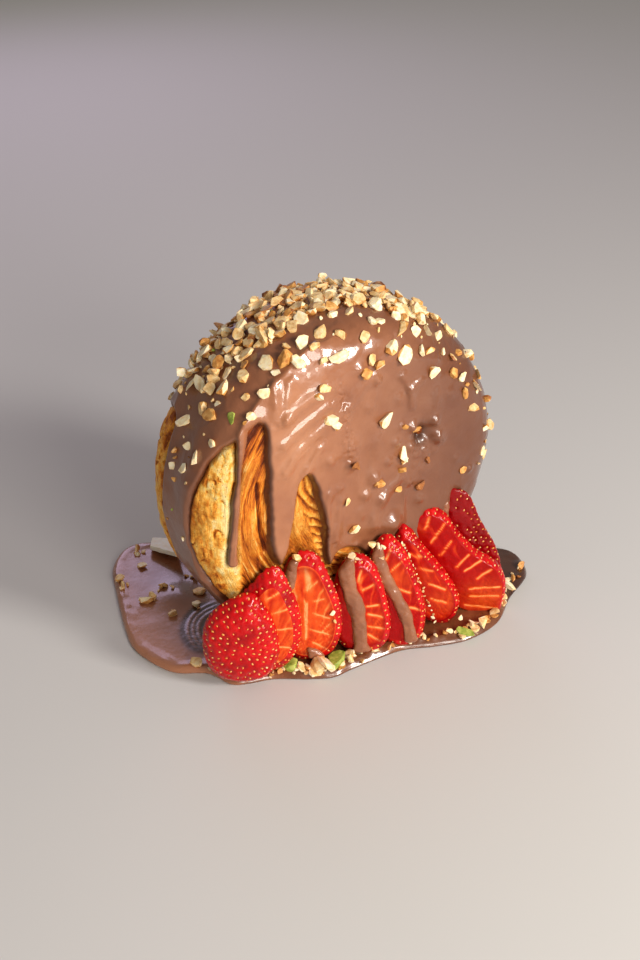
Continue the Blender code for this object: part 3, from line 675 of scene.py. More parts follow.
# The deep red band by the skin, and painted shade beside the sauce on slices 4 and 5
tinted = blend(tree, painted["Green"], glowing, linear(158, 4, 6))
cloud = ramp(tree, tone_of(tree, 1.3, 2.0), [(0.1, (224, 184, 160)), (0.9, (255, 255, 250))])
coloured(tree, shader, blend(tree, 0.4, tinted, cloud, how="MULTIPLY"))
settle(shader, Specular_IOR_Level=0.14, Coat_Weight=0.12, Coat_Roughness=0.10)
settle(shader, Subsurface_Weight=0.12, Subsurface_Radius=(0.003, 0.0008, 0.0004))
bumped(tree, shader, relief_of(tree, 0.6, 0.7), 0.10)
print("Strawberry flesh")

# %% [markdown]
# ## Where the chocolate lies
# The edge of the chocolate is a smooth loop on the laid-flat face, one in front and one behind. The
# distance to that loop says how deep in the chocolate a place is: none over bare crust, a rounded lip at
# the edge, and a full coat further in. One strand of chocolate, drawn as a line with a half width at each
# point, runs down the left window.

# %% Loops and distances
AT_ONCE = 6000


def spline(before, start, end, beyond, t):
    """The smooth curve from one anchor to the next, a share t of the way, bent by the anchors beyond."""
    return 0.5 * (
        2 * start
        + (end - before) * t
        + (2 * before - 5 * start + 4 * end - beyond) * t**2
        + (3 * start - before - 3 * end + beyond) * t**3
    )


def smooth_loop(anchors, per_span):
    """A closed smooth curve through the anchors."""
    points = np.array(anchors, float)
    before, after, beyond = (np.roll(points, shift, 0) for shift in (1, -1, -2))
    steps = [spline(before, points, after, beyond, t) for t in np.arange(per_span) / per_span]
    return np.stack(steps, axis=1).reshape(-1, points.shape[1])


def inside_distance(points, loop):
    """Distance from each point to a closed loop in the plane, positive inside it."""
    side = np.roll(loop, -1, 0) - loop
    end = loop + side
    rise = np.where(side[:, 1] == 0, 1.0, side[:, 1])
    found = []
    for part in np.array_split(points, len(points) // AT_ONCE + 1):
        offset = part[:, None, :] - loop[None]
        along = np.clip((offset * side).sum(2) / (side**2).sum(1), 0, 1)
        nearest = np.sqrt(((offset - along[..., None] * side) ** 2).sum(2).min(1))
        straddles = (loop[:, 1] > part[:, 1, None]) != (end[:, 1] > part[:, 1, None])
        crossing = loop[:, 0] + offset[..., 1] * side[:, 0] / rise
        inside = (straddles & (part[:, 0, None] < crossing)).sum(1) % 2 == 1
        found.append(np.where(inside, nearest, -nearest))
    return np.concatenate(found)


def strand_distance(points, strand):
    """Distance inside a strand of varying half width, positive inside it."""
    best = np.full(len(points), -np.inf)
    for (x0, z0, r0), (x1, z1, r1) in zip(strand, strand[1:]):
        start, run = np.array((x0, z0)), np.array((x1 - x0, z1 - z0))
        along = np.clip(((points - start) @ run) / (run @ run), 0, 1)
        away = np.sqrt(((points - start - along[:, None] * run) ** 2).sum(1))
        best = np.maximum(best, r0 + (r1 - r0) * along - away)
    return best


# %% Bare crust on both faces
BARE_FRONT = [
    (-34.6, 32.6), (-42.6, 28.8), (-49.4, 25.2), (-57, 15), (-61.3, 3.5), (-61, -8), (-56.5, -18.5),
    (-50, -27), (-41, -40), (-31, -56), (-24, -76), (24, -76), (34, -64), (48, -52), (52, -46), (46, -40),
    (38, -44), (30, -36), (22, -34), (15, -32), (9, -20.5), (3, -25), (-3, -20), (-9.5, -19), (-13, -23.5),
    (-14.2, -18), (-14.3, -10), (-15.2, -3.5), (-16.4, 1.5), (-18, 7.5), (-20.8, 12), (-23.8, 7),
    (-25.4, -3), (-27.4, -11), (-30, -17), (-33.2, -11), (-33.5, 2), (-33.8, 18),
]
BARE_BACK = [
    (-54, 31), (-60, 24), (-64, 12), (-65.5, -2), (-63.5, -16), (-56, -30), (-42, -44), (-31, -58),
    (-24, -76), (24, -76), (31, -58), (43, -42), (55, -28), (60, -12), (57, 6), (50, 16), (44.5, 8),
    (43, -8), (39, -24), (34, -18), (29, -10), (24.5, -14), (20, -27), (14, -18), (5, -13), (-3, -23),
    (-9, -16), (-16, -4), (-22, 3), (-27, -8), (-31, -21), (-35, -12), (-38, 6), (-45, 25),
]
STRAND = [
    (-41, 32, 1.8), (-43.2, 19, 1.2), (-45.2, 4, 1.6), (-46.3, -8, 1.8), (-46.4, -11.3, 2.1),
]
FRONT_LOOP, BACK_LOOP = smooth_loop(BARE_FRONT, 5), smooth_loop(BARE_BACK, 5)


def coverage(angle, path):
    """How far inside the chocolate's edge a place is, in millimetres, negative over bare crust."""
    front, back = face_place(angle, path), face_place(angle, path, back=True)
    covered = np.minimum(-inside_distance(front, FRONT_LOOP), -inside_distance(back, BACK_LOOP))
    covered = np.maximum(covered, strand_distance(front, STRAND))
    places = on_roll(angle, path)
    return covered + 0.35 * noise(places, 4.0, 1) + 0.2 * noise(places, 1.7, 2)


print(len(FRONT_LOOP) + len(BACK_LOOP), "points along the edge of the chocolate")

# %% [markdown]
# ## The baked roll
# The dough swelled unevenly, and a shallow seam runs round between the turns of its coil. Under the
# chocolate it is plain. Where it shows, it gets its leaves: saw-teeth that follow the coil, and finer
# layers from the random field stretched along it. The pressed part bulges almost as far as the chocolate.

# %% How the dough swelled
COAT = 2.3
FOOT_SPREAD = 0.8


def swelling(angle, path):
    """How far the roll bulges or dips, and how far it spreads at its foot."""
    near = from_centre(path)
    swell = np.sin(3 * angle + 0.6) + np.sin(5 * angle + path / 7) + np.sin(2 * angle - path / 11 + 2.0)
    foot = FOOT_SPREAD * bell(angle + math.pi / 2, 0.45) * np.clip(near / FACE_FLAT, 0, 1)
    return 0.45 * swell / 2 * np.clip(near / 20, 0, 1) ** 2 + foot


# %% [markdown]
# The dough that pressed on its ring is a smooth pillow with a fine upright grain, palest along its edge.
# Towards its left edge it is darker, as painted shade where it turns from the light, and its splits and pits
# are darkened as painted shade.

# %% Dough that was pressed on the ring
def line_distance(points, line):
    """Distance from each point to a broken line."""
    best = np.full(len(points), np.inf)
    for start, end in zip(np.array(line, float), np.array(line[1:], float)):
        run = end - start
        along = np.clip(((points - start) @ run) / (run @ run), 0, 1)
        best = np.minimum(best, np.hypot(*(points - start - along[:, None] * run).T))
    return best


PILLOW_EDGE, PILLOW_SPAN = 43, 18


def pressed_crust(places, front, on_front):
    """Relief and paleness of the dough that was pressed on the ring, with painted shade in it."""
    upright = places / np.array([1, 1, 1.9])
    grain = 0.22 * noise(upright, 1.2, 3) + 0.12 * noise(places, 0.8, 4) + 0.45 * noise(places, 5.5, 5)
    split = smooth_step(0.10 - np.abs(noise(places / np.array([1, 1, 2.2]), 2.6, 16)), 0, 0.08)
    split = split * smooth_step(noise(places, 5, 17), 0.05, 0.3)
    pits = smooth_step(bubbles(places, 4.4, 15), 0.88, 0.98)
    across, z = (-front[:, 0] - PILLOW_EDGE) / PILLOW_SPAN, front[:, 1]
    # Painted shade: darker towards the left edge, where the pillow turns from the light
    pale = 0.7 - 0.42 * smooth_step(across, 0.38, 0.95) + 0.2 * bell(across - 0.22, 0.12)
    pale = pale + 0.24 * smooth_step(z, 18, 25) - 0.34 * smooth_step(-z, 12, 24)
    pale = np.where(on_front & (front[:, 0] < -30), pale, 0.5)
    mottle = smooth_step(noise(places / np.array([1, 1, 1.7]), 2.0, 18), 0.15, 0.5)
    mottle = mottle * smooth_step(across, 0.0, 0.5)
    pale = pale + 0.3 * noise(upright, 3.0, 19) + 0.2 * noise(upright, 1.1, 20)
    # Painted shade in the splits and pits
    pale = pale - 0.3 * mottle - 0.5 * split - 0.2 * pits
    return grain - 0.5 * split - 0.2 * pits, np.clip(pale, 0, 1)


# %% [markdown]
# Where the coil was free its layers opened to leaves, which climb slowly and drop at their edge.

# %% Leaves of the free coil
COIL_PITCH, LEAF = 9.0, 1.9
OPEN_SEAM = [(-36.6, 13), (-36.4, 5), (-35.6, -3), (-34.2, -11)]
PALE_LEAF = [(-41, 19.5), (-38.2, 23.6), (-35.2, 29)]


def toothed(sheet, rise=0.84):
    """Saw-tooth leaves: each climbs slowly and drops at its edge, from 0 to 1."""
    part = sheet - np.floor(sheet)
    return np.where(part < rise, part / rise, (1 - part) / (1 - rise))


def free_crust(places, front, angle, near, turn, on_front):
    """Relief and paleness of the coil where its layers opened freely."""
    arc = np.mod(angle - math.pi / 2, 2 * math.pi) * COIL_WALK
    wander = noise(places, 9, 6)
    unrolled = np.stack([(near + 0.9 * wander) / 1.2, arc / 15, 0 * near], axis=1)
    strata = np.clip(2.0 * noise(unrolled, 1.0, 7), -1, 1)
    leaf = toothed(turn * COIL_PITCH / LEAF + 0.5 * wander + 0.2 * noise(places, 3, 10))
    opened = smooth_step(noise(places, 8, 11) - 0.03 * front[:, 1] * on_front, -0.1, 0.4)
    relief = 0.26 * strata + 0.55 * (leaf - 0.5) * opened + 0.14 * noise(places, 0.9, 12)
    pale = 0.46 + 0.2 * strata + 0.4 * (leaf - 0.5) * opened
    return relief, pale


def left_window(front, relief, pale, on_front):
    """The left window's own marks: a soft roll of dough, the seam that opened beside it with painted shade in
    it, and a pale leaf.
    """
    soft = bell(front[:, 0] + 38.6, 1.9) * smooth_step(12 - np.abs(front[:, 1] + 2), 0, 7) * on_front
    relief = relief * (1 - 0.75 * soft) + 0.7 * soft
    pale = pale * (1 - 0.7 * soft) + 0.5 * soft
    # Painted shade in the seam that opened
    seam_shade = bell(line_distance(front, OPEN_SEAM), 0.6) * on_front
    light = bell(line_distance(front, PALE_LEAF), 0.9) * on_front
    top = smooth_step(front[:, 1], 17, 27) * on_front * (front[:, 0] < -30)
    return relief - 1.3 * seam_shade + 0.3 * light, pale - 0.7 * seam_shade + 0.45 * light - 0.28 * top


# %% [markdown]
# The window at the right shows leaves end on, like the edge of a bent book, beside a smooth cone of dough.

# %% The fan of leaves
FAN_CENTRE, FAN_LEAF, FAN_EDGE = (-8.5, 9.5), 2.6, ((-24.4, 8.0), (-17.2, -13.8))


def fan_crust(places, front, relief, pale, on_front):
    """The relief and paleness with the fan and the cone in them, where they are plain, and painted shade in
    the gaps between leaves.
    """
    start, end = np.array(FAN_EDGE)
    along = (end - start) / np.linalg.norm(end - start)
    side = (front - start) @ np.array([-along[1], along[0]])
    here = on_front * smooth_step(front[:, 0], -29, -27) * (front[:, 0] < -11)
    reach = np.hypot(*(front - np.array(FAN_CENTRE)).T)
    leaf = toothed((reach - 1.7 + 0.7 * noise(places, 3, 13)) / FAN_LEAF, 0.82)
    fan = here * smooth_step(side, -0.2, 0.7)
    cone = here * smooth_step(-side, -0.2, 0.7)
    relief = relief * (1 - fan - 0.6 * cone) + fan * (0.8 * leaf - 0.7) + cone * 0.5 * np.exp(side / 3)
    browned = smooth_step(-front[:, 1], 6, 13)
    leaf_pale = 0.06 + 0.62 * leaf + 0.1 * noise(places, 1.2, 14)
    pale = pale * (1 - fan - 0.6 * cone) + fan * leaf_pale + 0.6 * cone * (0.66 - 0.5 * browned)
    # Painted shade in the gaps between leaves
    plain, gap_shade = 0.8 * fan + 0.45 * cone, 0.8 * fan * smooth_step(0.28 - leaf, 0, 0.28)
    return relief, pale, plain, gap_shade


# %% Relief of the crust
COIL_SEAM_RADIUS, SEAM_DEPTH, SEAM_WIDTH = 35.5, 0.9, 1.1
PILLOW_RISE, PILLOW_FROM, PILLOW_TO = 1.7, 42.4, 45.4


def crust_relief(angle, path):
    """Height of the crust under the chocolate's even surface, and its masks: pale, smooth, and dark, where
    dark holds baking, painted shade and painted shadow.
    """
    covered = coverage(angle, path)
    near = from_centre(path)
    places, front, on_front = on_roll(angle, path), face_place(angle, path), (path < HALF_PATH) * 1.0
    turn = (near - COIL_SEAM_RADIUS) / COIL_PITCH - (angle - math.pi) / (2 * math.pi)
    from_seam = np.abs(turn - np.round(turn)) * COIL_PITCH
    on_face = np.clip((FACE_FLAT + 2 - near) / 6, 0, 1) * np.clip(near / 6, 0, 1)
    seam = -SEAM_DEPTH * bell(from_seam, SEAM_WIDTH) * on_face
    bare = smooth_step(-covered, -0.6, 1.4)
    by_left = np.where(on_front * (front[:, 0] < 0) > 0, 0.4 - front[:, 0], near + noise(places, 7, 8))
    pressed = smooth_step(by_left, PILLOW_FROM, PILLOW_TO)
    ring_relief, ring_pale = pressed_crust(places, front, on_front > 0)
    coil = left_window(front, *free_crust(places, front, angle, near, turn, on_front), on_front)
    coil_relief, coil_pale, plain, gap_shade = fan_crust(places, front, *coil, on_front)
    detail = coil_relief * (1 - pressed) + (ring_relief + PILLOW_RISE) * pressed
    pale = coil_pale * (1 - pressed) + ring_pale * pressed
    # Painted shadow on the bare crust along the chocolate's edge
    edge_shadow = np.exp(-np.clip(-covered, 0, None) / 0.8) * (1 - 0.75 * pressed)
    dark = np.clip((0.3 * noise(places, 8, 14) + 0.05) * (1 - pressed) + 0.7 * edge_shadow, 0, 1)
    masks = np.stack([pale, np.maximum(pressed, plain), np.maximum(dark, gap_shade)], axis=1)
    return swelling(angle, path) - COAT + seam + bare * detail, masks


# %% Make the baked roll
def rolled(name, height, finishes, steps, foot):
    """A closed skin round the roll at a height for each angle and path, and the masks that come with it."""
    grid = roll_grid(*steps)
    angle, path = (np.concatenate(column) for column in zip(*grid))
    heights, masks = height(angle, path)
    points = on_roll(angle, path, heights)
    points[:, 2] = np.maximum(points[:, 2], foot)
    ends = np.cumsum([len(ring[0]) for ring in grid])[:-1]
    vertices, triangles = stitch(np.split(points, ends))
    piece = make_piece(name, vertices, face_out(vertices, triangles), finishes)
    return piece, masks


CRUST_STEPS, LOWEST = (0.44, 0.75), 1.2
baked_roll, masks = rolled("baked_roll", crust_relief, [crust], CRUST_STEPS, LOWEST)
paint(baked_roll, "bake", masks)
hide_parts("croissant")

# %% [markdown]
# ## The poured coat
# The chocolate ran down the front in folds before it set. Its left edge keeps a crease where the thick
# rim ends, long slanting folds catch the window, and nuts under the surface raise round bumps. These are
# drawn as ridges along lines on the laid-flat face, and as mounds. Broad random waves join them up.

# %% Folds and bumps in the coat
CREASE = [
    (-43.2, 27.3), (-41.6, 30.6), (-37.6, 36), (-34, 39.5), (-29.6, 43), (-25.4, 46), (-21.6, 48.8),
    (-14.6, 51.8),
]
# The front of the coat, round to the crease, catches the light. Beyond it the rim lies in half shade
LIT_EDGE = [(0, 53), (30, 50), (56, 20), (58, -20), (30, -62), (-30, -60), (-62, -26), (-64, 4), (-54, 20)]
LIT_LOOP = smooth_loop(CREASE + LIT_EDGE, 4)
# Each fold: points down along it, height, and half width on its left. On its right it falls off gently
FOLDS = [
    ([(-29.6, 43.5), (-30.4, 38), (-30.9, 33)], 0.8, 1.2),
    ([(-25.4, 42.5), (-26.6, 38), (-28.6, 33)], 0.8, 1.3),
    ([(-16.5, 38.4), (-19.3, 37.2), (-22.3, 36), (-25.2, 34.6), (-28, 33)], 1.2, 1.5),
    ([(-14.5, 33), (-18.5, 31.2), (-22.5, 29), (-26, 26.7), (-29, 24.3)], 1.25, 1.6),
    ([(-14, 27.6), (-16.8, 26), (-20, 24.1), (-23, 21.9), (-26, 19.1), (-28.8, 15.8)], 1.25, 1.6),
    ([(-16.6, 20), (-18.8, 17.4), (-20.9, 14.5), (-22.6, 11)], 1.1, 1.4),
    ([(0.8, 38), (-3.5, 34.6), (-6.5, 31.5), (-9.6, 28)], 0.9, 1.5),
    ([(12.8, 34.5), (15.8, 29.8), (16.2, 24)], 0.8, 1.1),
    ([(19.5, 31.6), (15.8, 29.8)], 0.8, 1.1),
    ([(12.5, 0.5), (8, -3.2), (5, -7), (2.4, -10)], 0.9, 1.3),
    ([(-13.6, 3), (-14.4, -3), (-15, -10)], 0.9, 1.3),
    ([(-9, -1), (-10.5, -9), (-10.9, -14)], 0.8, 1.3),
    ([(27, 30), (25.5, 22), (26.5, 12)], 0.6, 1.6),
    ([(4.5, 16), (2.5, 9), (1.5, 0), (-1.5, -8)], 0.5, 1.5),
]
FALL_OFF = 1.7
# Between the folds the chocolate is calm
CALM_LINE, CALM_REACH = [(-20, 40), (-24.5, 14)], 8.0
BUBBLE_BAND = [(-10.4, 38), (-7.9, 26.5), (-5.6, 12)]
CREASE_RISE, CREASE_REACH = 1.4, (3.4, 0.8)
# Each mound or hollow: x, height from the axis, radius, rise
MOUNDS = [
    (10.3, -15, 4.2, 2.8), (20.7, 12.8, 4.6, -1.5), (-30.5, -12, 3.5, 0.8), (3, -13.5, 2.8, 1.2),
    (16.5, 17, 2, 1.3), (24.8, 16.4, 2.1, 1.2), (26, 10.5, 2, 1.1), (16.4, 9.6, 2, 1.2),
    (-5.9, 10.7, 2.6, 1.3), (3.3, 3.1, 2.6, 1.3), (-2.8, 41.2, 2.4, 0.9), (5.4, -4.7, 2.2, 0.9),
    (-13.1, 14.7, 2.2, 0.9), (-0.2, -1.6, 2, 0.8), (-5, 16.6, 2.8, 0.8), (20.7, 13.3, 1.8, -1.4),
    (3.4, 36.2, 2, 1), (-8.4, 33, 2.2, -0.8), (10.5, 13.5, 1.8, 0.8), (12.5, 18.5, 1.6, 0.7),
    (28, 9, 2.2, 0.7), (16.5, -2.5, 1.8, 0.8), (8, 7.5, 1.6, 0.7), (31, 24, 2.4, 0.5), (35, 0, 2.2, 0.6),
    (41, -6, 1.6, 0.9), (-9.5, 4, 1.8, 0.6), (26, 37, 2.4, 0.5), (12, 27.5, 2, 0.6), (0.5, 28, 2.2, 0.6),
    (21, -10.5, 2, 0.7),
]


def with_folds(spot, places):
    """The crease and the folds on the front, bent a little by the random field."""
    crumple = noise(places, 3.0, 21)
    bent = spot + 0.35 * np.stack([crumple, noise(places, 3.0, 22)], axis=1)
    beside = np.where(inside_distance(bent, LIT_LOOP) > 0, *CREASE_REACH)
    raised = CREASE_RISE * np.exp(-line_distance(bent, CREASE) / beside)
    for line, rise, width in FOLDS:
        offset, run = bent - np.array(line[0]), np.array(line[-1]) - np.array(line[0])
        on_right = offset[:, 1] * run[0] - offset[:, 0] * run[1] > 0
        reach = width * np.where(on_right, FALL_OFF, 1.0)
        raised += rise * bell(line_distance(bent, line), reach) * (0.95 + 0.15 * crumple)
    return raised


def with_bumps(raised, spot, places, path):
    """The same height with mounds over hidden nuts, and three patches of bubbles."""
    for x, z, radius, rise in MOUNDS:
        raised += 1.2 * rise * bell(np.hypot(spot[:, 0] - x, spot[:, 1] - z), 0.85 * radius)
    raised += 0.65 * bell(line_distance(spot, BUBBLE_BAND), 2.0) * bubbles(places, 1.5, 23)
    raised += 0.8 * patch(*spot.T, (21, 8), (6, 8)) * bubbles(places, 2.8, 24)
    shoulder = smooth_step(path, 41, 46) * smooth_step(places[:, 2], 80, 90)
    return raised + 0.15 * shoulder * bubbles(places, 3.4, 28)


def folds(angle, path):
    """Height of the folds and bumps on the coat. The back has only the streams and waves."""
    front, places = face_place(angle, path), on_roll(angle, path)
    height = np.zeros(len(path))
    near = np.flatnonzero(path < HALF_PATH)
    height[near] = with_bumps(with_folds(front[near], places[near]), front[near], places[near], path[near])
    streams = np.stack([places[:, 0] / 6, places[:, 1] / 6, places[:, 2] / 22], axis=1)
    running = (1 - np.abs(noise(streams, 1.0, 25))) ** 2
    calm = np.exp(-((line_distance(front, CALM_LINE) / CALM_REACH) ** 4)) * (path < HALF_PATH)
    rough = 0.45 * running + 0.42 * noise(places, 9, 26) + 0.15 * noise(places, 3.2, 27)
    return height + rough * (1 - 0.8 * calm) + 0.16 * calm - 0.3


print(len(FOLDS), "folds and", len(MOUNDS), "mounds and hollows")

# %% [markdown]
# At its edge the chocolate stands up in a round lip, as any thick liquid does. Beyond it the surface dives
# under the crust, so that no gap shows.

# %% Relief of the coat, and its masks
EDGE_WIDTH, EDGE_LIP = 1.3, 0.2
RIGHT_SHADE, RIM_SHADE, BANK_SHADE = 0.84, 0.5, 0.85


def coat_relief(angle, path):
    """Height of the chocolate over its even surface, and its masks: painted light, painted shade, deep
    painted shade.
    """
    covered = coverage(angle, path)
    across = np.clip(covered / EDGE_WIDTH, 0, 1)
    rounded = COAT * np.sqrt(1 - (1 - across) ** 2)
    lip = EDGE_LIP * across * np.exp(-np.clip(covered, 0, None) / 3.0)
    full = smooth_step(covered, 0.0, 1.6)
    thick = np.where(covered > 0, rounded + lip + folds(angle, path) * full, np.maximum(2.5 * covered, -2.4))
    front, on_front = face_place(angle, path), path < HALF_PATH
    # Painted light: a warm lit patch at the upper left of the face
    thin = patch(*front.T, (-26, 26), (10, 16)) * on_front
    # Painted shade in the pit at the right of the face
    pit_shade = patch(*front.T, (20.2, 13), (2.8, 3.6)) * on_front
    # Painted shade: darker towards the right of the face, and on the rim past the crease
    shade_to_right = RIGHT_SHADE * smooth_step(front[:, 0], -36, 50) * smooth_step(HALF_PATH + 8 - path, 0, 8)
    past_crease = smooth_step(-inside_distance(front, LIT_LOOP), -0.9, 0.9) * (front[:, 0] < 0)
    on_rim = RIM_SHADE * np.maximum(smooth_step(path, 50, 56), past_crease * on_front)
    # Painted shade on the bank, where the chocolate's edge rises with bare crust on its left and turns from
    # the light
    beside = front[:, 0] - 1.5, front[:, 1]
    climb = covered - coverage(np.arctan2(beside[1], beside[0]), np.hypot(*beside))
    bank = np.clip(climb / 1.2, 0, 1) * bell(covered - 0.3, 0.8) * on_front
    dark = np.maximum(np.maximum(shade_to_right, on_rim), BANK_SHADE * bank)
    # The deep mask is painted shade in the pit and on the bank
    deep = np.maximum(0.95 * pit_shade, 0.5 * bank)
    return thick + swelling(angle, path) - COAT, np.stack([0.3 * thin, dark, deep], axis=1)


# %% Make the coat
COAT_STEPS, COAT_FOOT = (0.46, 0.78), 3.0
poured_coat, masks = rolled("poured_coat", coat_relief, [milk_chocolate], COAT_STEPS, COAT_FOOT)
paint(poured_coat, "pour", masks)
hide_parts("chocolate_coat")

# %% [markdown]
# ## Chopped hazelnuts
# A nut under the knife breaks to chips with flat cuts and a little of the round outside. Each chip here is
# a ball cut by three planes, with its corners taken off. Forty patterns are made, then turned, stretched
# and laid on their flat sides a thousand times, which is how a handful of nuts gets its variety.

# %% Chip patterns
GOLDEN_ANGLE = math.pi * (3 - math.sqrt(5))
CORNER_BEVEL, FROM_MIDDLE = 0.02, 0.43


def ball_corner(k, corners):
    """One of the corners of a ball, all about as far from each other."""
    height = 1 - 2 * (k + 0.5) / corners
    ring = math.sqrt(1 - height * height)
    return Vector((ring * math.cos(k * GOLDEN_ANGLE), ring * math.sin(k * GOLDEN_ANGLE), height))


def chip_pattern(rng, corners=20, cuts=2):
    """Vertices, triangles and outside faces of one chip, one across: a ball of nut cut by a few planes."""
    mesh = bmesh.new()
    planes = [(Vector(rng.normal(size=3)).normalized(), rng.uniform(0.04, 0.34)) for _ in range(cuts)]
    planes.append((Vector((0, 0, 1)), rng.uniform(0.06, 0.26)))
    for k in range(corners):
        corner = ball_corner(k, corners) * (0.56 * rng.uniform(0.7, 1.1))
        for axis, reach in planes:
            corner -= axis * max(0.0, corner.dot(axis) - reach)
        mesh.verts.new(corner)
    made = bmesh.ops.convex_hull(mesh, input=mesh.verts)
    bmesh.ops.delete(mesh, geom=list({*made["geom_interior"], *made["geom_unused"]}), context="VERTS")
    bmesh.ops.dissolve_limit(mesh, angle_limit=0.3, verts=mesh.verts, edges=mesh.edges)
    edges = list(mesh.edges)
    bmesh.ops.bevel(mesh, geom=edges, offset=CORNER_BEVEL, segments=1, affect="EDGES", clamp_overlap=True)
    bmesh.ops.triangulate(mesh, faces=mesh.faces)
    bmesh.ops.recalc_face_normals(mesh, faces=mesh.faces)
    vertices = np.array([tuple(v.co) for v in mesh.verts])
    triangles = np.array([[v.index for v in f.verts] for f in mesh.faces])
    outside = np.array([f.calc_center_median().length > FROM_MIDDLE for f in mesh.faces])
    mesh.free()
    return (vertices - vertices.mean(0)) / np.ptp(vertices, 0).max(), triangles, outside


rng = np.random.default_rng(7)
CHIPS = [chip_pattern(rng) for _ in range(40)]
print(len(CHIPS), "chip patterns,", sum(len(chip[1]) for chip in CHIPS) // len(CHIPS), "triangles each")

# %% Lay the chips down
CAKE_TOP = 111.8


def lying_turns(rng, ups, tilt):
    """Rotations that lay each chip down, its third axis near the way up, turned at random."""
    third = ups + tilt * rng.normal(size=ups.shape)
    third /= np.linalg.norm(third, axis=1)[:, None]
    first = np.cross(rng.normal(size=ups.shape), third)
    first /= np.linalg.norm(first, axis=1)[:, None]
    return np.stack([first, np.cross(third, first), third], axis=2)


def chips_piece(name, finishes, rng, places, sizes, tones, ups, tilt=0.4):
    """All chips in one piece. Each tone gives the finishes of a chip's cut faces and of its outside."""
    vertices, triangles, kinds, start = [], [], [], 0
    ups = np.broadcast_to(np.array(ups, float), (len(places), 3))
    for place, size, turn, tone in zip(places, sizes, lying_turns(rng, ups, tilt), tones):
        shape, faces, outside = CHIPS[rng.integers(len(CHIPS))]
        stretched = shape * np.array([rng.uniform(0.95, 1.45), 1, rng.uniform(0.62, 0.95)])
        corners = stretched @ turn.T * size + place
        corners[:, 2] -= max(0.0, corners[:, 2].max() - CAKE_TOP)
        vertices.append(corners)
        triangles.append(faces + start)
        kinds.append(np.where(outside, tone[1], tone[0]))
        start += len(corners)
    return make_piece(
        name, np.vstack(vertices), np.vstack(triangles), finishes, np.concatenate(kinds), smooth=False
    )


# %% [markdown]
# Two nuts can't lie in one place. So darts are thrown, and only those that find room are kept.

# %% Throw the darts
WELL_COVERED = 2.2


def scatter(rng, tries, spacing, keep):
    """Darts thrown at the roll. Each stays if it is wanted there and no earlier dart is too near."""
    angle, path = rng.uniform(-math.pi, math.pi, tries), rng.uniform(0, 2 * HALF_PATH, tries)
    fair = rng.uniform(0, 1, tries) < profile(path)[0] / RIM_RADIUS
    angle, path = angle[fair], path[fair]
    wanted = keep(angle, path)
    angle, path = angle[wanted], path[wanted]
    covered = coverage(angle, path) > WELL_COVERED
    angle, path = angle[covered], path[covered]
    points = on_roll(angle, path)
    room = spacing(angle, path, rng)
    chosen = np.empty((0, 3))
    kept = []
    for index, point in enumerate(points):
        if len(chosen) and (((chosen - point) ** 2).sum(1) < room[index] ** 2).any():
            continue
        chosen = np.vstack([chosen, point])
        kept.append(index)
    return angle[kept], path[kept], room[kept]


def on_coat(angle, path, ups, lift):
    """Places lifted from the chocolate's own surface."""
    return on_roll(angle, path, coat_relief(angle, path)[0]) + ups * lift[:, None]


# %% [markdown]
# The heap covers the top and comes forward at the right. Lower down on the rim the nuts thin out.

# %% Where nuts are wanted
def past_heap_edge(angle, path):
    """How far a place lies behind the heap's front edge, which comes forward at the right."""
    near = from_centre(path)
    edge = 61 - 14 * smooth_step(on_roll(angle, path)[:, 0], 4, 26)
    return np.where(path < HALF_PATH, path - edge, near - 48)


def heap_share(angle, path):
    """How thick the nuts lie: 1 in the heap on top, and 0 on the faces and lower down."""
    places = on_roll(angle, path)
    high = smooth_step(places[:, 2] - 0.16 * places[:, 0], 88, 101)
    return smooth_step(past_heap_edge(angle, path), -1, 3) * high


def nut_room(angle, path, rng):
    """How much room each nut takes: close together in the heap, and farther apart lower down."""
    share, height = heap_share(angle, path), on_roll(angle, path)[:, 2]
    loose = rng.uniform(4.2, 7.5, len(path)) + 2.0 * smooth_step(85 - height, 0, 20)
    return loose + (rng.uniform(2.1, 3.1, len(path)) - loose) * share


def nuts_wanted(angle, path):
    """The whole top, the rim down to the axis, and only a few places on the front face."""
    points = on_roll(angle, path)
    rise = (points[:, 2] - AXIS_HEIGHT) / RIM_RADIUS
    near = from_centre(path)
    on_rim = (near > 45) & (rise > -0.15) & (past_heap_edge(angle, path) > -11)
    behind = (near <= 45) & (path > HALF_PATH) & (rise > 0.1)
    return on_rim | behind


# %% Scatter the nuts over the coat
rng = np.random.default_rng(20)
angle, path, room = scatter(rng, 36000, nut_room, nuts_wanted)
in_heap = heap_share(angle, path)
sizes = rng.uniform(2.4, 3.6, len(room)) + in_heap * rng.uniform(-0.2, 1.5, len(room))
lift = sizes * rng.uniform(0.05, 0.2, len(room))
doubled = np.flatnonzero((in_heap > 0.8) & (rng.uniform(0, 1, len(room)) < 0.3))
angle, path, sizes = (np.concatenate([v, v[doubled]]) for v in (angle, path, sizes))
lift = np.concatenate([lift, lift[doubled] + rng.uniform(0.8, 1.4, len(doubled))])
ups = outward(angle, path)
places = on_coat(angle, path, ups, lift)
places[-len(doubled):] += rng.normal(0, 0.9, (len(doubled), 3)) * np.array([1, 1, 0.2])
print(len(places), "nuts on the coat,", len(doubled), "of them on others")

# %% [markdown]
# The nuts that a visitor remembers are the single ones, so they lie where the real ones do: across, up from
# the axis on the laid-flat face, and size. Brown ones keep their skin, and most of them sit round the pit.

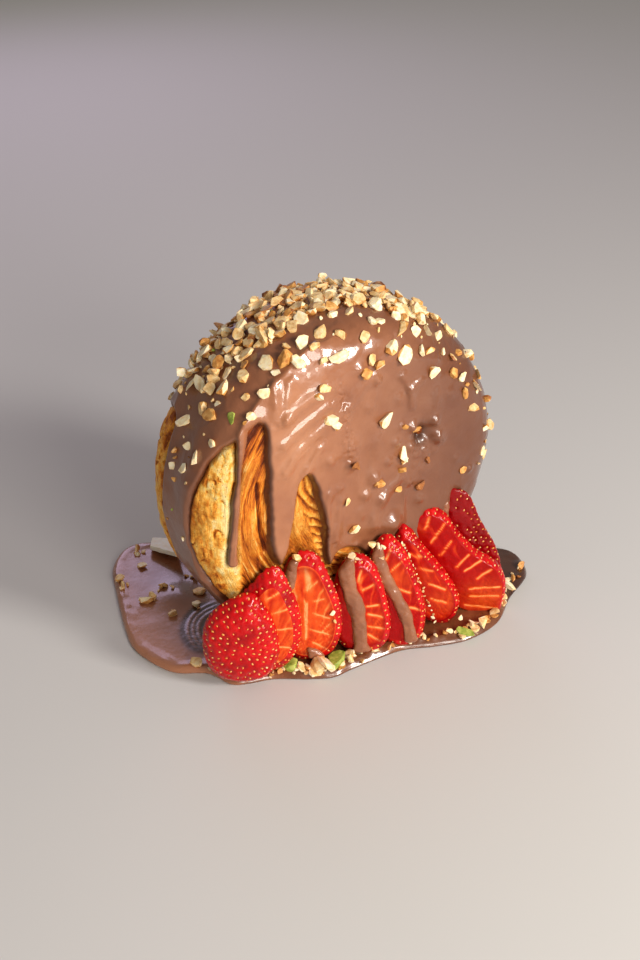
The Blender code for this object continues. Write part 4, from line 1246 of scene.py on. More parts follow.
# %% Single nuts
SINGLE_NUTS = {
    "cream": [
        (8.8, 45.1, 4), (13.7, 41.3, 4.2), (20, 41.1, 2.6), (23.3, 39.9, 2.7), (24.2, 33.3, 3.4),
        (43.2, 22.4, 3.6), (40.4, 16.4, 2.6), (29.7, 42.9, 2.8), (24.9, 46.3, 3.4), (20.2, 47, 3.2),
        (15, 49.3, 3.4), (0.8, 49.9, 2.7), (5.4, 54, 2.7), (8.6, 53.2, 2.7), (-5, 60, 2.5),
        (-9.1, 46.6, 4.2), (-11.7, 54.8, 3.5), (-18.5, 52.9, 3.9), (-15.9, 50.6, 2.7), (-14.6, 46.5, 2.5),
        (-30.3, 49.3, 4), (-16, 39.3, 3.4), (-17.7, 37.3, 2.2), (-13.5, 28.8, 3.4), (-12.1, 26.4, 3.2),
        (3.6, 41.1, 3.2), (6.7, 21.7, 3.8), (-37.7, 47, 3), (-44.9, 44.5, 4.6), (-53.6, 40.2, 3.6),
        (-62.5, 36.2, 3.5), (-43.6, 49.7, 2.8), (13.5, 8.6, 3.6), (14, 6.3, 2.8), (-6.8, -1.5, 2.4),
        (-4.4, -12.4, 2.9), (-60, 27.1, 2.5), (-56.1, 24.1, 3), (-68.7, 19.3, 2.2), (-61.8, 19.5, 2.7),
        (-74.7, 16.1, 2.6), (-49.8, 28.6, 2.3), (-47.2, 40.4, 1.8),
    ],
    "golden": [
        (32.4, 30.5, 3), (36.9, 22, 2.8), (-25, 49.4, 4.6), (1.2, 43.2, 3), (-50.3, 37, 3.4),
        (-51.6, 54.3, 3.2), (12.9, 3, 2.8), (12.3, -4.2, 2.2), (13.2, 18.3, 2), (17.8, 16.1, 2),
        (-67.4, 25.3, 1.8), (-37.9, 40.6, 2.2),
    ],
    "brown": [
        (-1.7, 40, 3.6), (-4.9, 10.7, 3.3), (4, 1.7, 3), (20.7, -5.5, 2.6), (23.4, 3, 2.6), (38, -5.4, 2.2),
    ],
    "green": [
        (-43, 35.6, 2.2),
    ],
}
# Each tone: the slot in nut_kinds of a chip's cut faces, and that of its outside
TONES = [(0, 2), (1, 2), (0, 3), (1, 0), (2, 3)]
SINGLE_TONES = {
    "cream": [(1, 2), (1, 0), (0, 2)],
    "golden": [(2, 2), (0, 2)],
    "brown": [(2, 3), (3, 3)],
    "green": [(4, 4)],
}
SINGLES_GROW, SUNK = 1.15, 0.1
singles = [(*nut, kind) for kind, nuts in SINGLE_NUTS.items() for nut in nuts]
x, z, single_sizes = np.array([nut[:3] for nut in singles]).T
single_sizes = SINGLES_GROW * single_sizes
single_angle, single_path = np.arctan2(z, x), np.hypot(x, z)
single_ups = outward(single_angle, single_path)
single_places = on_coat(single_angle, single_path, single_ups, single_sizes * SUNK)
print(len(singles), "single nuts")

# %% [markdown]
# A sprinkled nut gives way to a single one beside it, and at the left only single ones lie.

# %% Make the chopped hazelnuts
NUT_APART, NONE_NEAR = 3.6, 60
from_single = np.linalg.norm(places[:, None] - single_places[None], axis=2).min(1)
seen_left = (places[:, 0] < -20) & (places[:, 2] < 90) & (path < 80)
apart = from_single > np.where(seen_left, NONE_NEAR, NUT_APART)
tones = [TONES[k] for k in rng.choice(len(TONES), apart.sum(), p=[0.36, 0.24, 0.14, 0.14, 0.12])]
tones += [SINGLE_TONES[kind][rng.integers(len(SINGLE_TONES[kind]))] for *_, kind in singles]
places, ups = np.vstack([places[apart], single_places]), np.vstack([ups[apart], single_ups])
sizes = np.concatenate([sizes[apart], single_sizes])
print(len(places), "nuts in all")
nut_kinds = [nut_cream, nut_pale, nut_golden, nut_toasted, pistachio]
nuts_on_top = chips_piece("chopped_hazelnuts", nut_kinds, rng, places, sizes, tones, ups)

# %% [markdown]
# Between the chips lie finer crumbs from the same knife, and a few bits of pistachio.

# %% Crumbs on the coat
GREEN, GREEN_SHARE = (4, 4), 0.02


def crumb_room(angle, path, _):
    """Crumbs lie close together in the heap, and far apart below it."""
    return 2.0 + 4.5 * (1 - heap_share(angle, path))


rng = np.random.default_rng(31)
angle, path, room = scatter(rng, 9000, crumb_room, nuts_wanted)
sizes = rng.uniform(0.7, 1.7, len(room))
ups = outward(angle, path)
places = on_coat(angle, path, ups, sizes * SUNK)
green = rng.uniform(0, 1, len(places)) < GREEN_SHARE
tone_picks = rng.integers(0, len(TONES), len(places))
tones = [GREEN if is_green else TONES[k] for k, is_green in zip(tone_picks, green)]
crumbs_on_top = chips_piece("nut_crumbs", nut_kinds, rng, places, sizes, tones, ups)

# %% [markdown]
# ## Strawberries
# Each berry is cut lengthwise. A slice has a flat wet cut face in front and behind, joined by a band of
# skin. The first slice is the rounded cap of the berry, and the last one is its other end.
# A slice is a loop drawn on its cut face, shrunk and pushed along its thickness, ring by ring.

# %% The slices, as they stand
POOL_DEPTH = 2.0
# Each slice: foot, yaw, lean, roll, thickness, section, and the outline of its cut face
SLICES = {
    1: ((-48.8, -25.3), 30, 1, -8, 5.6, "front", [
        (1.5, 0.3), (8.5, 3), (11.4, 10.5), (10, 19), (5.5, 28), (0, 33), (-6, 30), (-11.3, 24),
        (-12.7, 15.5), (-10.5, 6.5), (-5.5, 1.2),
    ]),
    2: ((-38.6, -24.4), 30, 1, -4, 4, "wide", [
        (0, 0), (6.5, 3), (10.2, 11), (9.8, 21.5), (6.6, 31), (2.6, 38.5), (-1.2, 38.8), (-5.6, 33.5),
        (-10.5, 26.5), (-13, 17), (-10.5, 6.5), (-5, 1),
    ]),
    3: ((-24.4, -25.8), 34, 2, 2, 3.4, "even", [
        (0, 0), (7.5, 2.2), (11.2, 10), (11.2, 20.5), (8.2, 31), (5, 38.3), (0.5, 40.5), (-3.8, 38),
        (-7, 31), (-9.3, 20), (-8.6, 9), (-4.6, 2),
    ]),
    4: ((-7.8, -32.4), 34, 8, 6, 4.2, "even", [
        (1, -0.5), (7.2, 2), (9.9, 9), (9.2, 20), (7, 30), (3.5, 34.2), (-0.5, 34.4), (-4.5, 31), (-8, 23),
        (-9.5, 13), (-7.5, 5), (-3.5, 0.5),
    ]),
    5: ((5, -35.3), 34, 8, 9, 5, "even", [
        (2, -1.5), (7, 1.5), (9.5, 10), (8.4, 21.5), (5.8, 32), (2.4, 37.8), (-1.4, 37.6), (-5, 33),
        (-8, 24), (-9, 13), (-7, 4.5), (-3, -0.3),
    ]),
    6: ((24.6, -35.2), 34, 2, 26, 5.4, "even", [
        (-1.5, -0.6), (3.2, 1), (6.8, 7), (6.6, 17), (4.3, 29), (2.9, 37.5), (0.3, 39.8), (-3, 37),
        (-7, 28), (-9, 17), (-8.3, 7.5), (-5.3, 1.7),
    ]),
    7: ((39, -35.4), 34, 2, 30, 5.4, "thin", [
        (1.8, -4), (6.5, -1.5), (11, 5.5), (11.5, 12.5), (7.8, 21), (6, 30), (5.4, 38.4), (1.5, 43.2),
        (-3, 43), (-7.5, 38.5), (-10, 27), (-10.3, 14), (-6.5, 3),
    ]),
    8: ((41.8, -29), 34, 2, 15, 6.5, "back", [
        (0, 0), (6.5, 2.5), (9.8, 9), (9.8, 18.5), (7.2, 29), (5.6, 39), (2, 43), (-2.5, 42.8),
        (-6.5, 39.5), (-9.5, 30), (-11, 18), (-8.5, 6), (-4, 1),
    ]),
}
print(len(SLICES), "slices")

# %% [markdown]
# No two cut faces are alike. Each gets its own marks: how pale and how deep red it is, orange glows as x,
# height, radius and strength, and pale threads from place to place.

# %% Marks on the cut faces
FLESH = {
    1: (0.2, 0.0, [], []),
    2: (0.34, 0.1, [(4, 14, 15, 0.85)], [
        ((2, 7), (7, 4)), ((2, 12), (8, 11)), ((2, 18), (8, 18.5)), ((1, 24), (6, 26)), ((-1, 29), (3, 32))]),
    3: (0.5, 0.05, [(2, 17, 15, 0.8)], [
        ((0.1, 9), (0.3, 24)), ((2.6, 18.9), (7.6, 16.6)), ((2.8, 23.3), (6.2, 24)), ((1.5, 13), (7.2, 10.6)),
        ((1, 27), (4.4, 30.4)), ((2.2, 8), (6.4, 5)), ((0.4, 10), (1.0, 23))]),
    4: (0.2, 0.12, [(5, 11, 6, 0.5)], [
        ((1.1, 26.4), (2.5, 30.1)), ((2.2, 23.2), (5.8, 24.8)), ((3, 17.3), (6.5, 17.3)),
        ((3.1, 14.6), (7.5, 12.9)), ((2.7, 10.3), (7.8, 8.9)), ((2.5, 7.5), (6.7, 3.9))]),
    5: (0.16, 0.3, [(2, 24, 5, 0.65)], [
        ((1.3, 21), (5.5, 18.4)), ((0.6, 27), (4.2, 29.6)), ((4.6, 13.4), (7.6, 12)),
        ((-0.6, 31), (1.4, 34))]),
    6: (0.14, 0.2, [(3, 9, 6, 0.6), (1, 20, 4, 0.3)], [
        ((0.5, 17.7), (4.2, 13.3)), ((0.4, 24), (3.6, 21.6)), ((0.2, 30), (2.6, 28)),
        ((-1, 12), (2.5, 8.6))]),
    7: (0.0, 0.4, [(2, 4, 7, 0.9), (-5, 40, 3.5, 0.5)], [
        ((-3.2, 41.4), (1.5, 43.5)), ((-2.3, 37.2), (2.2, 41.5)), ((-2.7, 32.1), (4.3, 36.1)),
        ((-2.5, 26.5), (3, 29.3)), ((-0.2, 19.7), (5.5, 21.9)), ((1.6, 17), (7.9, 17.8)),
        ((3.8, 12.4), (9.2, 13.2)), ((-0.1, 10.1), (8.6, 5.7)), ((-1.4, 7.5), (6.8, 2.8)),
        ((-4.4, 5.2), (4.9, -1.8))]),
    8: (0.1, 0.5, [], []),
}
# Runs of sauce on a slice: x, height and half width, from the tip down
STRIPS = {
    3: [
        [(-2.0, 38.6, 1.4), (-3.2, 34.4, 1.8), (-3.6, 30.6, 1.5), (-3.5, 27.6, 0.8)],
        [(0.8, 6.2, 0.9), (2.6, 4.4, 2.2), (3.4, 1.6, 2.6)],
    ],
    4: [[
        (0.0, 35.0, 1.3), (-2.0, 30.5, 2.4), (-1.9, 25, 2.5), (-0.4, 17.3, 2.7), (0, 11.3, 2.3),
        (-0.2, 5.4, 2.2), (0, 1.2, 3.6),
    ]],
    5: [[
        (-1.7, 36.6, 1.2), (-2.7, 32.6, 1.9), (-2.2, 29, 2.2), (-0.8, 23, 2.1), (0.7, 18.7, 2.1),
        (2.6, 12.3, 2.1), (3.4, 6.4, 1.9), (3.5, 0.9, 2.2),
    ]],
    8: [[(-3.2, 40.2, 1.9), (-4.8, 36.0, 3.0), (-6.0, 31.5, 2.6), (-7.0, 28.0, 1.2)]],
}
print(sum(len(marks[3]) for marks in FLESH.values()), "threads and", len(STRIPS), "slices with sauce")

# %% [markdown]
# A section runs from the middle of the front face, over the band of skin, to the middle of the back: size
# beside the outline, and depth in the thickness. The numbers after it say where the skin starts and ends.

# %% Sections of the slices
SECTIONS = {
    "even": ([
        (0, 0), (0.55, 0), (0.77, 0), (0.81, 0.03), (0.875, 0.13), (0.94, 0.3), (0.985, 0.54), (1.0, 0.76),
        (0.98, 0.93), (0.93, 1.0), (0.6, 1.0), (0, 1.0),
    ], 3, 9),
    "thin": ([
        (0, 0), (0.6, 0), (0.87, 0.0), (0.915, 0.03), (0.955, 0.14), (0.985, 0.33), (1.0, 0.6),
        (0.992, 0.84), (0.965, 0.97), (0.91, 1.0), (0.6, 1.0), (0, 1.0),
    ], 3, 9),
    "wide": ([
        (0, 0), (0.5, 0), (0.68, 0), (0.72, 0.03), (0.81, 0.14), (0.9, 0.32), (0.97, 0.56), (1.0, 0.8),
        (0.98, 0.95), (0.93, 1.0), (0.6, 1.0), (0, 1.0),
    ], 3, 9),
    "front": ([
        (0, -0.075), (0.3, -0.06), (0.6, 0.04), (0.84, 0.3), (0.97, 0.66), (1.0, 0.92), (0.97, 1.0),
        (0.6, 1.0), (0, 1.0),
    ], 0, 6),
    "back": ([
        (0, 0), (0.6, 0), (0.95, 0.0), (1.0, 0.08), (0.97, 0.34), (0.84, 0.7), (0.6, 0.96), (0.3, 1.06),
        (0, 1.075),
    ], 0, 8),
}
SLICE_MIDDLE, LOWEST_SLICE = 16.0, 1.2


def slice_frame(number):
    """Where a slice stands: x across its cut face, y into the slice, z up to the tip."""
    foot, yaw, lean, roll, *_ = SLICES[number]
    turn = Matrix.Rotation(math.radians(-yaw), 4, "Z")
    tilt = Matrix.Rotation(math.radians(-lean), 4, "X")
    swing = Matrix.Rotation(math.radians(-roll), 4, "Y")
    return np.array(Matrix.Translation((foot[0], foot[1], POOL_DEPTH)) @ turn @ tilt @ swing)


def placed(points, matrix):
    """The same points, standing where the matrix puts them."""
    return points @ matrix[:3, :3].T + matrix[:3, 3]


# %% [markdown]
# The seeds sit in dimples, in rows that are offset like bricks. The rows are laid on the skin first, then
# the skin is pressed in around each seed, and a small flat drop of gold is set in the dimple.

# %% A slice's section, and its rows of seeds
SEED_ROWS, SEED_ROOM = 2.1, 2.35
FINE_STEPS, BLUR_STEPS, BLUR_REACH = 400, 12, 6.0


def softened(values):
    """The same run of values with its corners rounded off."""
    blur = np.exp(-((np.arange(-BLUR_STEPS, BLUR_STEPS + 1) / BLUR_REACH) ** 2))
    return np.convolve(np.pad(values, BLUR_STEPS, "edge"), blur / blur.sum(), "valid")


class Section:
    """A slice's section as it runs from the middle of one face, round the skin, to the other."""

    def __init__(self, thick, dome, outline):
        points, skin_from, skin_to = SECTIONS[dome]
        self.loop = smooth_loop(outline, 24)
        around = np.linalg.norm(np.roll(self.loop, -1, 0) - self.loop, axis=1)
        self.share = np.concatenate([[0], np.cumsum(around)]) / around.sum()
        self.around = around.sum()
        self.thick, self.dome = thick, dome
        half_width = np.ptp(self.loop[:, 0]) / 2
        scale, depth = np.array(points, float).T
        steps = np.hypot(np.diff(scale) * half_width, np.diff(depth) * thick)
        self.walk = np.concatenate([[0], np.cumsum(steps)])
        self.fine = np.linspace(0, self.walk[-1], FINE_STEPS)
        self.scale = np.clip(softened(np.interp(self.fine, self.walk, scale)), 0, None)
        self.depth = softened(np.interp(self.fine, self.walk, depth))
        self.scale[0] = self.scale[-1] = 0.0
        self.skin = self.walk[skin_from], self.walk[skin_to]

    def point(self, walk, share):
        """Places on the slice, in its own frame."""
        closed = np.vstack([self.loop, self.loop[:1]])
        x, z = (np.interp(np.mod(share, 1), self.share, closed[:, k]) for k in range(2))
        scale, depth = np.interp(walk, self.fine, self.scale), np.interp(walk, self.fine, self.depth)
        return np.stack([x * scale, depth * self.thick, SLICE_MIDDLE + (z - SLICE_MIDDLE) * scale], axis=-1)

    def size_at(self, walk):
        """How large the slice is there, beside its outline."""
        return np.interp(walk, self.fine, self.scale)


def seed_places(section, rng):
    """Where the seeds sit, as a walk along the section and a share of the way round it."""
    low, high = section.skin
    rows = max(1, round((high - low) / SEED_ROWS))
    found = []
    for row in range(rows):
        walk = low + (row + 0.5) / rows * (high - low)
        count = max(1, round(section.around * float(section.size_at(walk)) / SEED_ROOM))
        share = (np.arange(count) + 0.5 * (row % 2) + rng.uniform(-0.28, 0.28, count)) / count
        found.append(np.stack([walk + rng.uniform(-0.5, 0.5, count), share], axis=1))
    return np.vstack(found)


# %% [markdown]
# A soft berry lies flat against the roll that it leans on, so its back is pressed out of the roll. A ray
# through the slice finds how far it can give way before its back would come out of its own face.

# %% Press a slice on the roll
THINNEST_SLICE = 0.4


def roll_clear(points, room):
    """Press points back out of the roll, which has round shoulders."""
    reach = np.hypot(points[:, 0], points[:, 2] - AXIS_HEIGHT)
    out_r = np.maximum(reach - FACE_FLAT, 0)
    out_y = np.abs(points[:, 1]) - (HALF_WIDTH - SHOULDER)
    deep = np.hypot(out_r, np.maximum(out_y, 0)) - SHOULDER
    push = np.clip(room - deep, 0, None) * (points[:, 1] < 0)
    length = np.maximum(np.hypot(out_r, np.maximum(out_y, 0)), 1e-6)
    moved = points.copy()
    moved[:, 1] -= push * np.maximum(out_y, 0) / length
    radial = push * out_r / length / np.maximum(reach, 1e-6)
    moved[:, 0] += points[:, 0] * radial
    moved[:, 2] += (points[:, 2] - AXIS_HEIGHT) * radial
    return moved


def pressed_on_roll(points, triangles, room):
    """Press a slice flat on the roll. Where the roll would swallow its whole thickness, it sinks in."""
    moved = roll_clear(points, room)
    ways = moved - points
    far = np.linalg.norm(ways, axis=1)
    body = BVHTree.FromPolygons(points.tolist(), triangles.tolist())
    for k in np.flatnonzero(far > 0.01):
        way = Vector(ways[k] / far[k])
        _, normal, _, reach = body.ray_cast(Vector(points[k]) + 0.02 * way, way)
        leaves = reach is not None and normal.dot(way) > 0
        share = min(1.0, max(0.0, reach - THINNEST_SLICE) / far[k]) if leaves else 0.0
        moved[k] = points[k] + share * ways[k]
    return moved


# %% [markdown]
# A seed is a small flat drop. Three belts of eight corners and two tips are enough, as there are hundreds.

# %% The shape of a seed
SEED_SIDES = 8
belts, spokes = (-0.9, 0, 0.9), np.arange(SEED_SIDES) * math.pi / 4
seed_shape = [
    (math.cos(a) * math.cos(b), math.sin(a) * math.cos(b), math.sin(b)) for b in belts for a in spokes
]
seed_shape = np.array(seed_shape + [(0, 0, -1), (0, 0, 1)])
seed_faces, tips = [], []
for k in range(SEED_SIDES):
    beside = (k + 1) % SEED_SIDES
    for low, high in ((0, SEED_SIDES), (SEED_SIDES, 2 * SEED_SIDES)):
        seed_faces += [(low + k, low + beside, high + beside), (low + k, high + beside, high + k)]
    tips += [(beside, k, 3 * SEED_SIDES), (2 * SEED_SIDES + k, 2 * SEED_SIDES + beside, 3 * SEED_SIDES + 1)]
seed_faces = np.array(seed_faces + tips)
print("A seed has", len(seed_faces), "triangles")

# %% [markdown]
# The cut face has pale rays that lead to the seeds, threads, orange glows, and a deep red band by the
# skin. Two slices are deep red beside their sauce too, as painted shade from the slice to their left.

# %% Masks of the flesh
THREAD_WIDTH, RAYS = 0.65, 4.4


def flesh_masks(number, points, section, walk):
    """How pale the flesh is, how deep red, with painted shade beside the sauce, and where it glows orange."""
    base, depth, glows, threads = FLESH[number]
    size, x, z = section.size_at(walk), points[:, 0], points[:, 2]
    wander = np.stack([noise(points, 2.0, 45), noise(points, 2.0, 46)], axis=1)
    flat = np.stack([x, z], axis=1) + 0.15 * wander
    direction = np.arctan2(z - 3 - 0.5 * np.abs(x), np.abs(x) + 0.5)
    rays = direction * RAYS + 0.3 * noise(points, 5.0, 41) + 0.3 * np.sign(x) + 0.37 * number
    wave = np.cos(2 * math.pi * rays)
    band = smooth_step(size, 0.25, 0.45) * smooth_step(0.83 - size, 0, 0.08)
    fibres = noise(np.stack([direction * 26, size * 2.2, 0 * x], axis=1), 1.0, 56)
    pale = base + 0.34 * smooth_step(wave, 0.5, 1.0) * band + 0.16 * fibres * band
    pale = pale + 0.12 * noise(points, 3, 42)
    for thread in threads:
        near_thread = line_distance(flat, thread) / THREAD_WIDTH
        pale = np.maximum(pale, 0.92 * bell(near_thread, 1.0)) - 0.12 * bell(near_thread - 2.4, 0.9)
    glow = np.zeros(len(x))
    for gx, gz, radius, strength in glows:
        glow = np.maximum(glow, strength * bell(np.hypot(x - gx, z - gz), radius))
    deep = 0.9 * smooth_step(size, 0.66, 0.82) * (section.dome != "thin")
    deep = deep + 0.6 * smooth_step(size, 0.84, 0.95)
    deep = np.maximum(deep, depth * smooth_step(0.7 - pale, 0, 0.3))
    # Painted shade: left of the sauce, slices 4 and 5 lie in the shade of the slice to their left
    if number in (4, 5):
        x_edge, z_edge, half = np.array(STRIPS[number][0]).T
        edge = np.interp(z, z_edge[::-1], (x_edge - half)[::-1])
        deep = np.maximum(deep, smooth_step(edge - x, -0.5, 1.0))
    glow = glow * (1 - smooth_step(pale, 0.5, 0.8)) * (0.75 + 0.5 * fibres)
    return np.stack([np.clip(pale, 0, 1), np.clip(deep, 0, 1), np.clip(glow, 0, 1)], axis=1)


# %% Rings, seeds and dimples
SLICE_STEP = 0.4
DIMPLE_DEPTH, DIMPLE_RADIUS = 0.5, 0.68
SEED_RADII, SEED_SUNK = np.array([0.27, 0.44, 0.22]), 0.3
ABOVE_POOL, FROM_ROLL, MOST_PRESSED = 2.2, 0.6, 0.2


def slice_rings(section):
    """Rings of a slice in its own frame, and the walk of each point."""
    walks = np.linspace(0, section.walk[-1], round(section.walk[-1] / SLICE_STEP))
    rings, walk, share = [], [], []
    for step in walks:
        count = max(1, round(section.around * float(section.size_at(step)) / SLICE_STEP))
        count = 1 if step in (walks[0], walks[-1]) else max(6, count)
        walk.append(np.full(count, step))
        share.append(np.arange(count) / count)
        rings.append(section.point(walk[-1], share[-1]))
    return rings, np.concatenate(walk)


def seed_ways(section, seeds):
    """Where each seed is, which way is out there, and the ways across and up the skin."""
    there = section.point(seeds[:, 0], seeds[:, 1])
    along = section.point(seeds[:, 0] + 0.2, seeds[:, 1]) - section.point(seeds[:, 0] - 0.2, seeds[:, 1])
    around = section.point(seeds[:, 0], seeds[:, 1] + 0.004) - section.point(seeds[:, 0], seeds[:, 1] - 0.004)
    out = np.cross(along, around)
    out /= np.linalg.norm(out, axis=1)[:, None]
    from_middle = there - np.array([0, section.thick / 2, SLICE_MIDDLE])
    out *= np.sign((out * from_middle).sum(1))[:, None]
    up = np.cross(out, around / np.linalg.norm(around, axis=1)[:, None])
    return there, out, np.cross(up, out), up


def pressed_in(vertices, on_skin, there, out):
    """The skin with a dimple at each seed."""
    moved = vertices.copy()
    for place, way in zip(there, out):
        near = np.exp(-(((vertices - place) ** 2).sum(1) / DIMPLE_RADIUS**2))
        moved -= way * (DIMPLE_DEPTH * near * on_skin)[:, None]
    return moved


def set_seeds(rng, matrix, there, out, across, up):
    """Points of each seed that stands clear of the pool and of the roll."""
    found = []
    for k, (place, way) in enumerate(zip(there, out)):
        body = seed_shape * SEED_RADII * rng.uniform(0.75, 1.2)
        seed = place - way * SEED_SUNK + body[:, :1] * across[k] + body[:, 1:2] * up[k] + body[:, 2:] * way
        seed = placed(seed, matrix)
        pressed = np.abs(roll_clear(seed, FROM_ROLL) - seed).max()
        if seed[:, 2].min() > ABOVE_POOL and pressed < MOST_PRESSED:
            found.append(seed)
    return found


# %% [markdown]
# Now the slice comes together. Its flesh has a fibrous relief, lower along the threads, and its skin is
# painted deeper red on the side that is turned from the light.

# %% Make the slices
def berry_slice(number):
    """One slice, standing and pressed on the roll. The points of its seeds come back for later."""
    rng = np.random.default_rng(400 + number)
    section = Section(*SLICES[number][4:])
    rings, walk = slice_rings(section)
    vertices, triangles = stitch(rings)
    triangles = face_out(vertices, triangles)
    there, out, across, up = seed_ways(section, seed_places(section, rng))
    on_skin = (walk > section.skin[0]) & (walk < section.skin[1])
    masks = flesh_masks(number, vertices, section, walk)
    fibre = 0.10 * noise(vertices, 1.4, 43) + 0.25 * noise(vertices, 6, 44) - 0.16 * masks[:, 0]
    away = np.zeros((len(vertices), 3))
    away[:, 1] = np.where(walk < section.walk[-1] / 2, -1.0, 1.0)
    flesh_share = smooth_step(1 - section.size_at(walk), 0.02, 0.12) * ~on_skin
    relief = pressed_in(vertices, on_skin, there, out) + away * (fibre * flesh_share)[:, None]
    matrix = slice_frame(number)
    standing = pressed_on_roll(placed(relief, matrix), triangles, LOWEST_SLICE)
    standing[:, 2] = np.maximum(standing[:, 2], LOWEST_SLICE)
    middles = walk[triangles].mean(1)
    kinds = ((middles > section.skin[0]) & (middles < section.skin[1])).astype(int)
    piece = make_piece(f"berry_slice_{number}", standing, triangles, [berry_flesh, berry_skin], kinds)
    turned_away = np.clip(-0.1 - vertices[:, 0] / 12, 0, 1) * (number not in (1, 8))
    # Painted shade on the skin: deeper red on the side turned from the light, and all over on the last slice
    masks[:, 1] = np.where(on_skin, np.maximum(turned_away, 0.75 * (number == 8)), masks[:, 1])
    paint(piece, "flesh", masks)
    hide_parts(f"strawberry_slice_{number}")
    return set_seeds(rng, matrix, there, out, across, up)


all_seeds = []
for number in SLICES:
    all_seeds += berry_slice(number)
print(len(all_seeds), "seeds")

# %% Make the seeds
seed_tris = np.vstack([seed_faces + len(seed_shape) * k for k in range(len(all_seeds))])
berry_seeds = make_piece("berry_seeds", np.vstack(all_seeds), seed_tris, [seed_gold])

# %% [markdown]
# ## Sauce between the slices
# Melted chocolate ran over some tips and down their cut faces. Each run is half a round bar laid along a
# soft line on the face, thick at its rim and narrower where it broke off.

# %% Rings of a run of sauce
RUN_RISE, RUN_CLOSES = 1.1, 1.6


def soft_line(anchors, count):
    """Points along a smooth open curve through the anchors."""
    points = np.array(anchors, float)
    ends = np.vstack([2 * points[0] - points[1], points, 2 * points[-1] - points[-2]])
    t = np.linspace(0, len(points) - 1, count)
    k = np.minimum(t.astype(int), len(points) - 2)
    return spline(ends[k], ends[k + 1], ends[k + 2], ends[k + 3], (t - k)[:, None])


def run_rings(strip, seed, sides=28):
    """Rings of a run of sauce in its slice's frame, closed by a point at each end."""
    line = soft_line(strip, 90)
    length = np.concatenate([[0], np.cumsum(np.hypot(*np.diff(line[:, :2], axis=0).T))])
    turn = 2 * math.pi * np.arange(sides) / sides
    rings = []
    for (x, z, half), walked in zip(line, length):
        from_end = max(0.0, 1 - min(walked, length[-1] - walked) / RUN_CLOSES)
        closing = math.sqrt(max(0.0, 1 - from_end**2))
        wobble = 1 + 0.07 * math.sin(walked * 0.6 + seed) + 0.04 * math.sin(walked * 1.3 + 2 * seed)
        width, height = half * closing * wobble, RUN_RISE * (0.35 + 0.65 * closing) * wobble
        if closing < 0.05:
            rings.append(np.array([[x, 0.1, z]]))
            continue
        out = -height * closing * np.sin(turn)
        rings.append(np.stack([x + width * np.cos(turn), out, np.full(sides, z)], axis=1))
    return rings


# %% [markdown]
# The front of each run has lumps where nuts lie under it, and it is painted lighter, as it is thin.

# %% Make the sauce runs
for number, strips in STRIPS.items():
    for order, strip in enumerate(strips):
        vertices, triangles = stitch(run_rings(strip, number + order))
        bumps = 0.4 * noise(vertices, 3.4, 47) + 0.3 * bubbles(vertices, 2.4, 48)
        vertices[:, 1] -= bumps * (vertices[:, 1] < -0.3)
        standing = placed(vertices, slice_frame(number))
        standing[:, 2] = np.maximum(standing[:, 2], LOWEST_SLICE)
        run = make_piece(f"sauce_run_{number}_{order + 1}", standing, face_out(standing, triangles), [sauce])
        paint(run, "pour", np.tile([0.25, 0.0, 0.0], (len(standing), 1)))

# %% [markdown]
# Crumbs of nut stuck to the wet tips and along the cut edges, where the knife dragged them.

# %% Crumbs on the slices
# Each nut: the slice it sticks to, x, height and size
TIP_NUTS = [
    (3, -1.6, 39.4, 3.2), (4, 0.1, 35.6, 2.4), (4, 1.4, 34.2, 1.8), (5, -3.9, 37.3, 2.6),
    (5, -2.2, 36.4, 2.4), (5, -0.7, 35.8, 2), (5, -1.8, 32.4, 2.2), (3, 8.6, 19, 1.8), (3, 9.2, 16, 1.4),
    (4, 8.6, 2.5, 2), (7, -6, 37.5, 1.8), (6, 4.6, 1.6, 2),
]
CRUMB_LINES = {6: [(-0.6, 35.4), (-1.5, 21.9), (-3.5, 3.6)], 7: [(-6.2, 36.0), (-6.6, 24.0), (-6.0, 10.0)]}
rng = np.random.default_rng(52)
places, sizes = [], []
for number, x, z, size in TIP_NUTS:
    places.append(placed(np.array([x, -0.5, z]), slice_frame(number)))
    sizes.append(size)
for number, line in CRUMB_LINES.items():
    for x, z in soft_line(line, 26):
        dragged = np.array([x + rng.normal(0, 0.25), -0.15, z + rng.normal(0, 0.4)])
        places.append(placed(dragged, slice_frame(number)))
        sizes.append(rng.uniform(0.5, 1.3))
tones = [TONES[k] for k in rng.integers(0, 2, len(places))]
OUT = (-0.5, -0.8, 0.3)
places = np.array(places)
crumbs_on_berries = chips_piece("crumbs_on_slices", nut_kinds[:3], rng, places, sizes, tones, OUT, 0.8)

# %% [markdown]
# ## The pool
# The rest of the chocolate spread on the floor. Its edge stands up in a round bead, because melted
# chocolate is thick, and where it slid off the roll at the left it set in three folds. Two masks hold painted
# light at the left, where light falls on it, and painted shade beside the roll, in the grooves of the folds
# and at the right; the pool is also darker towards the front.

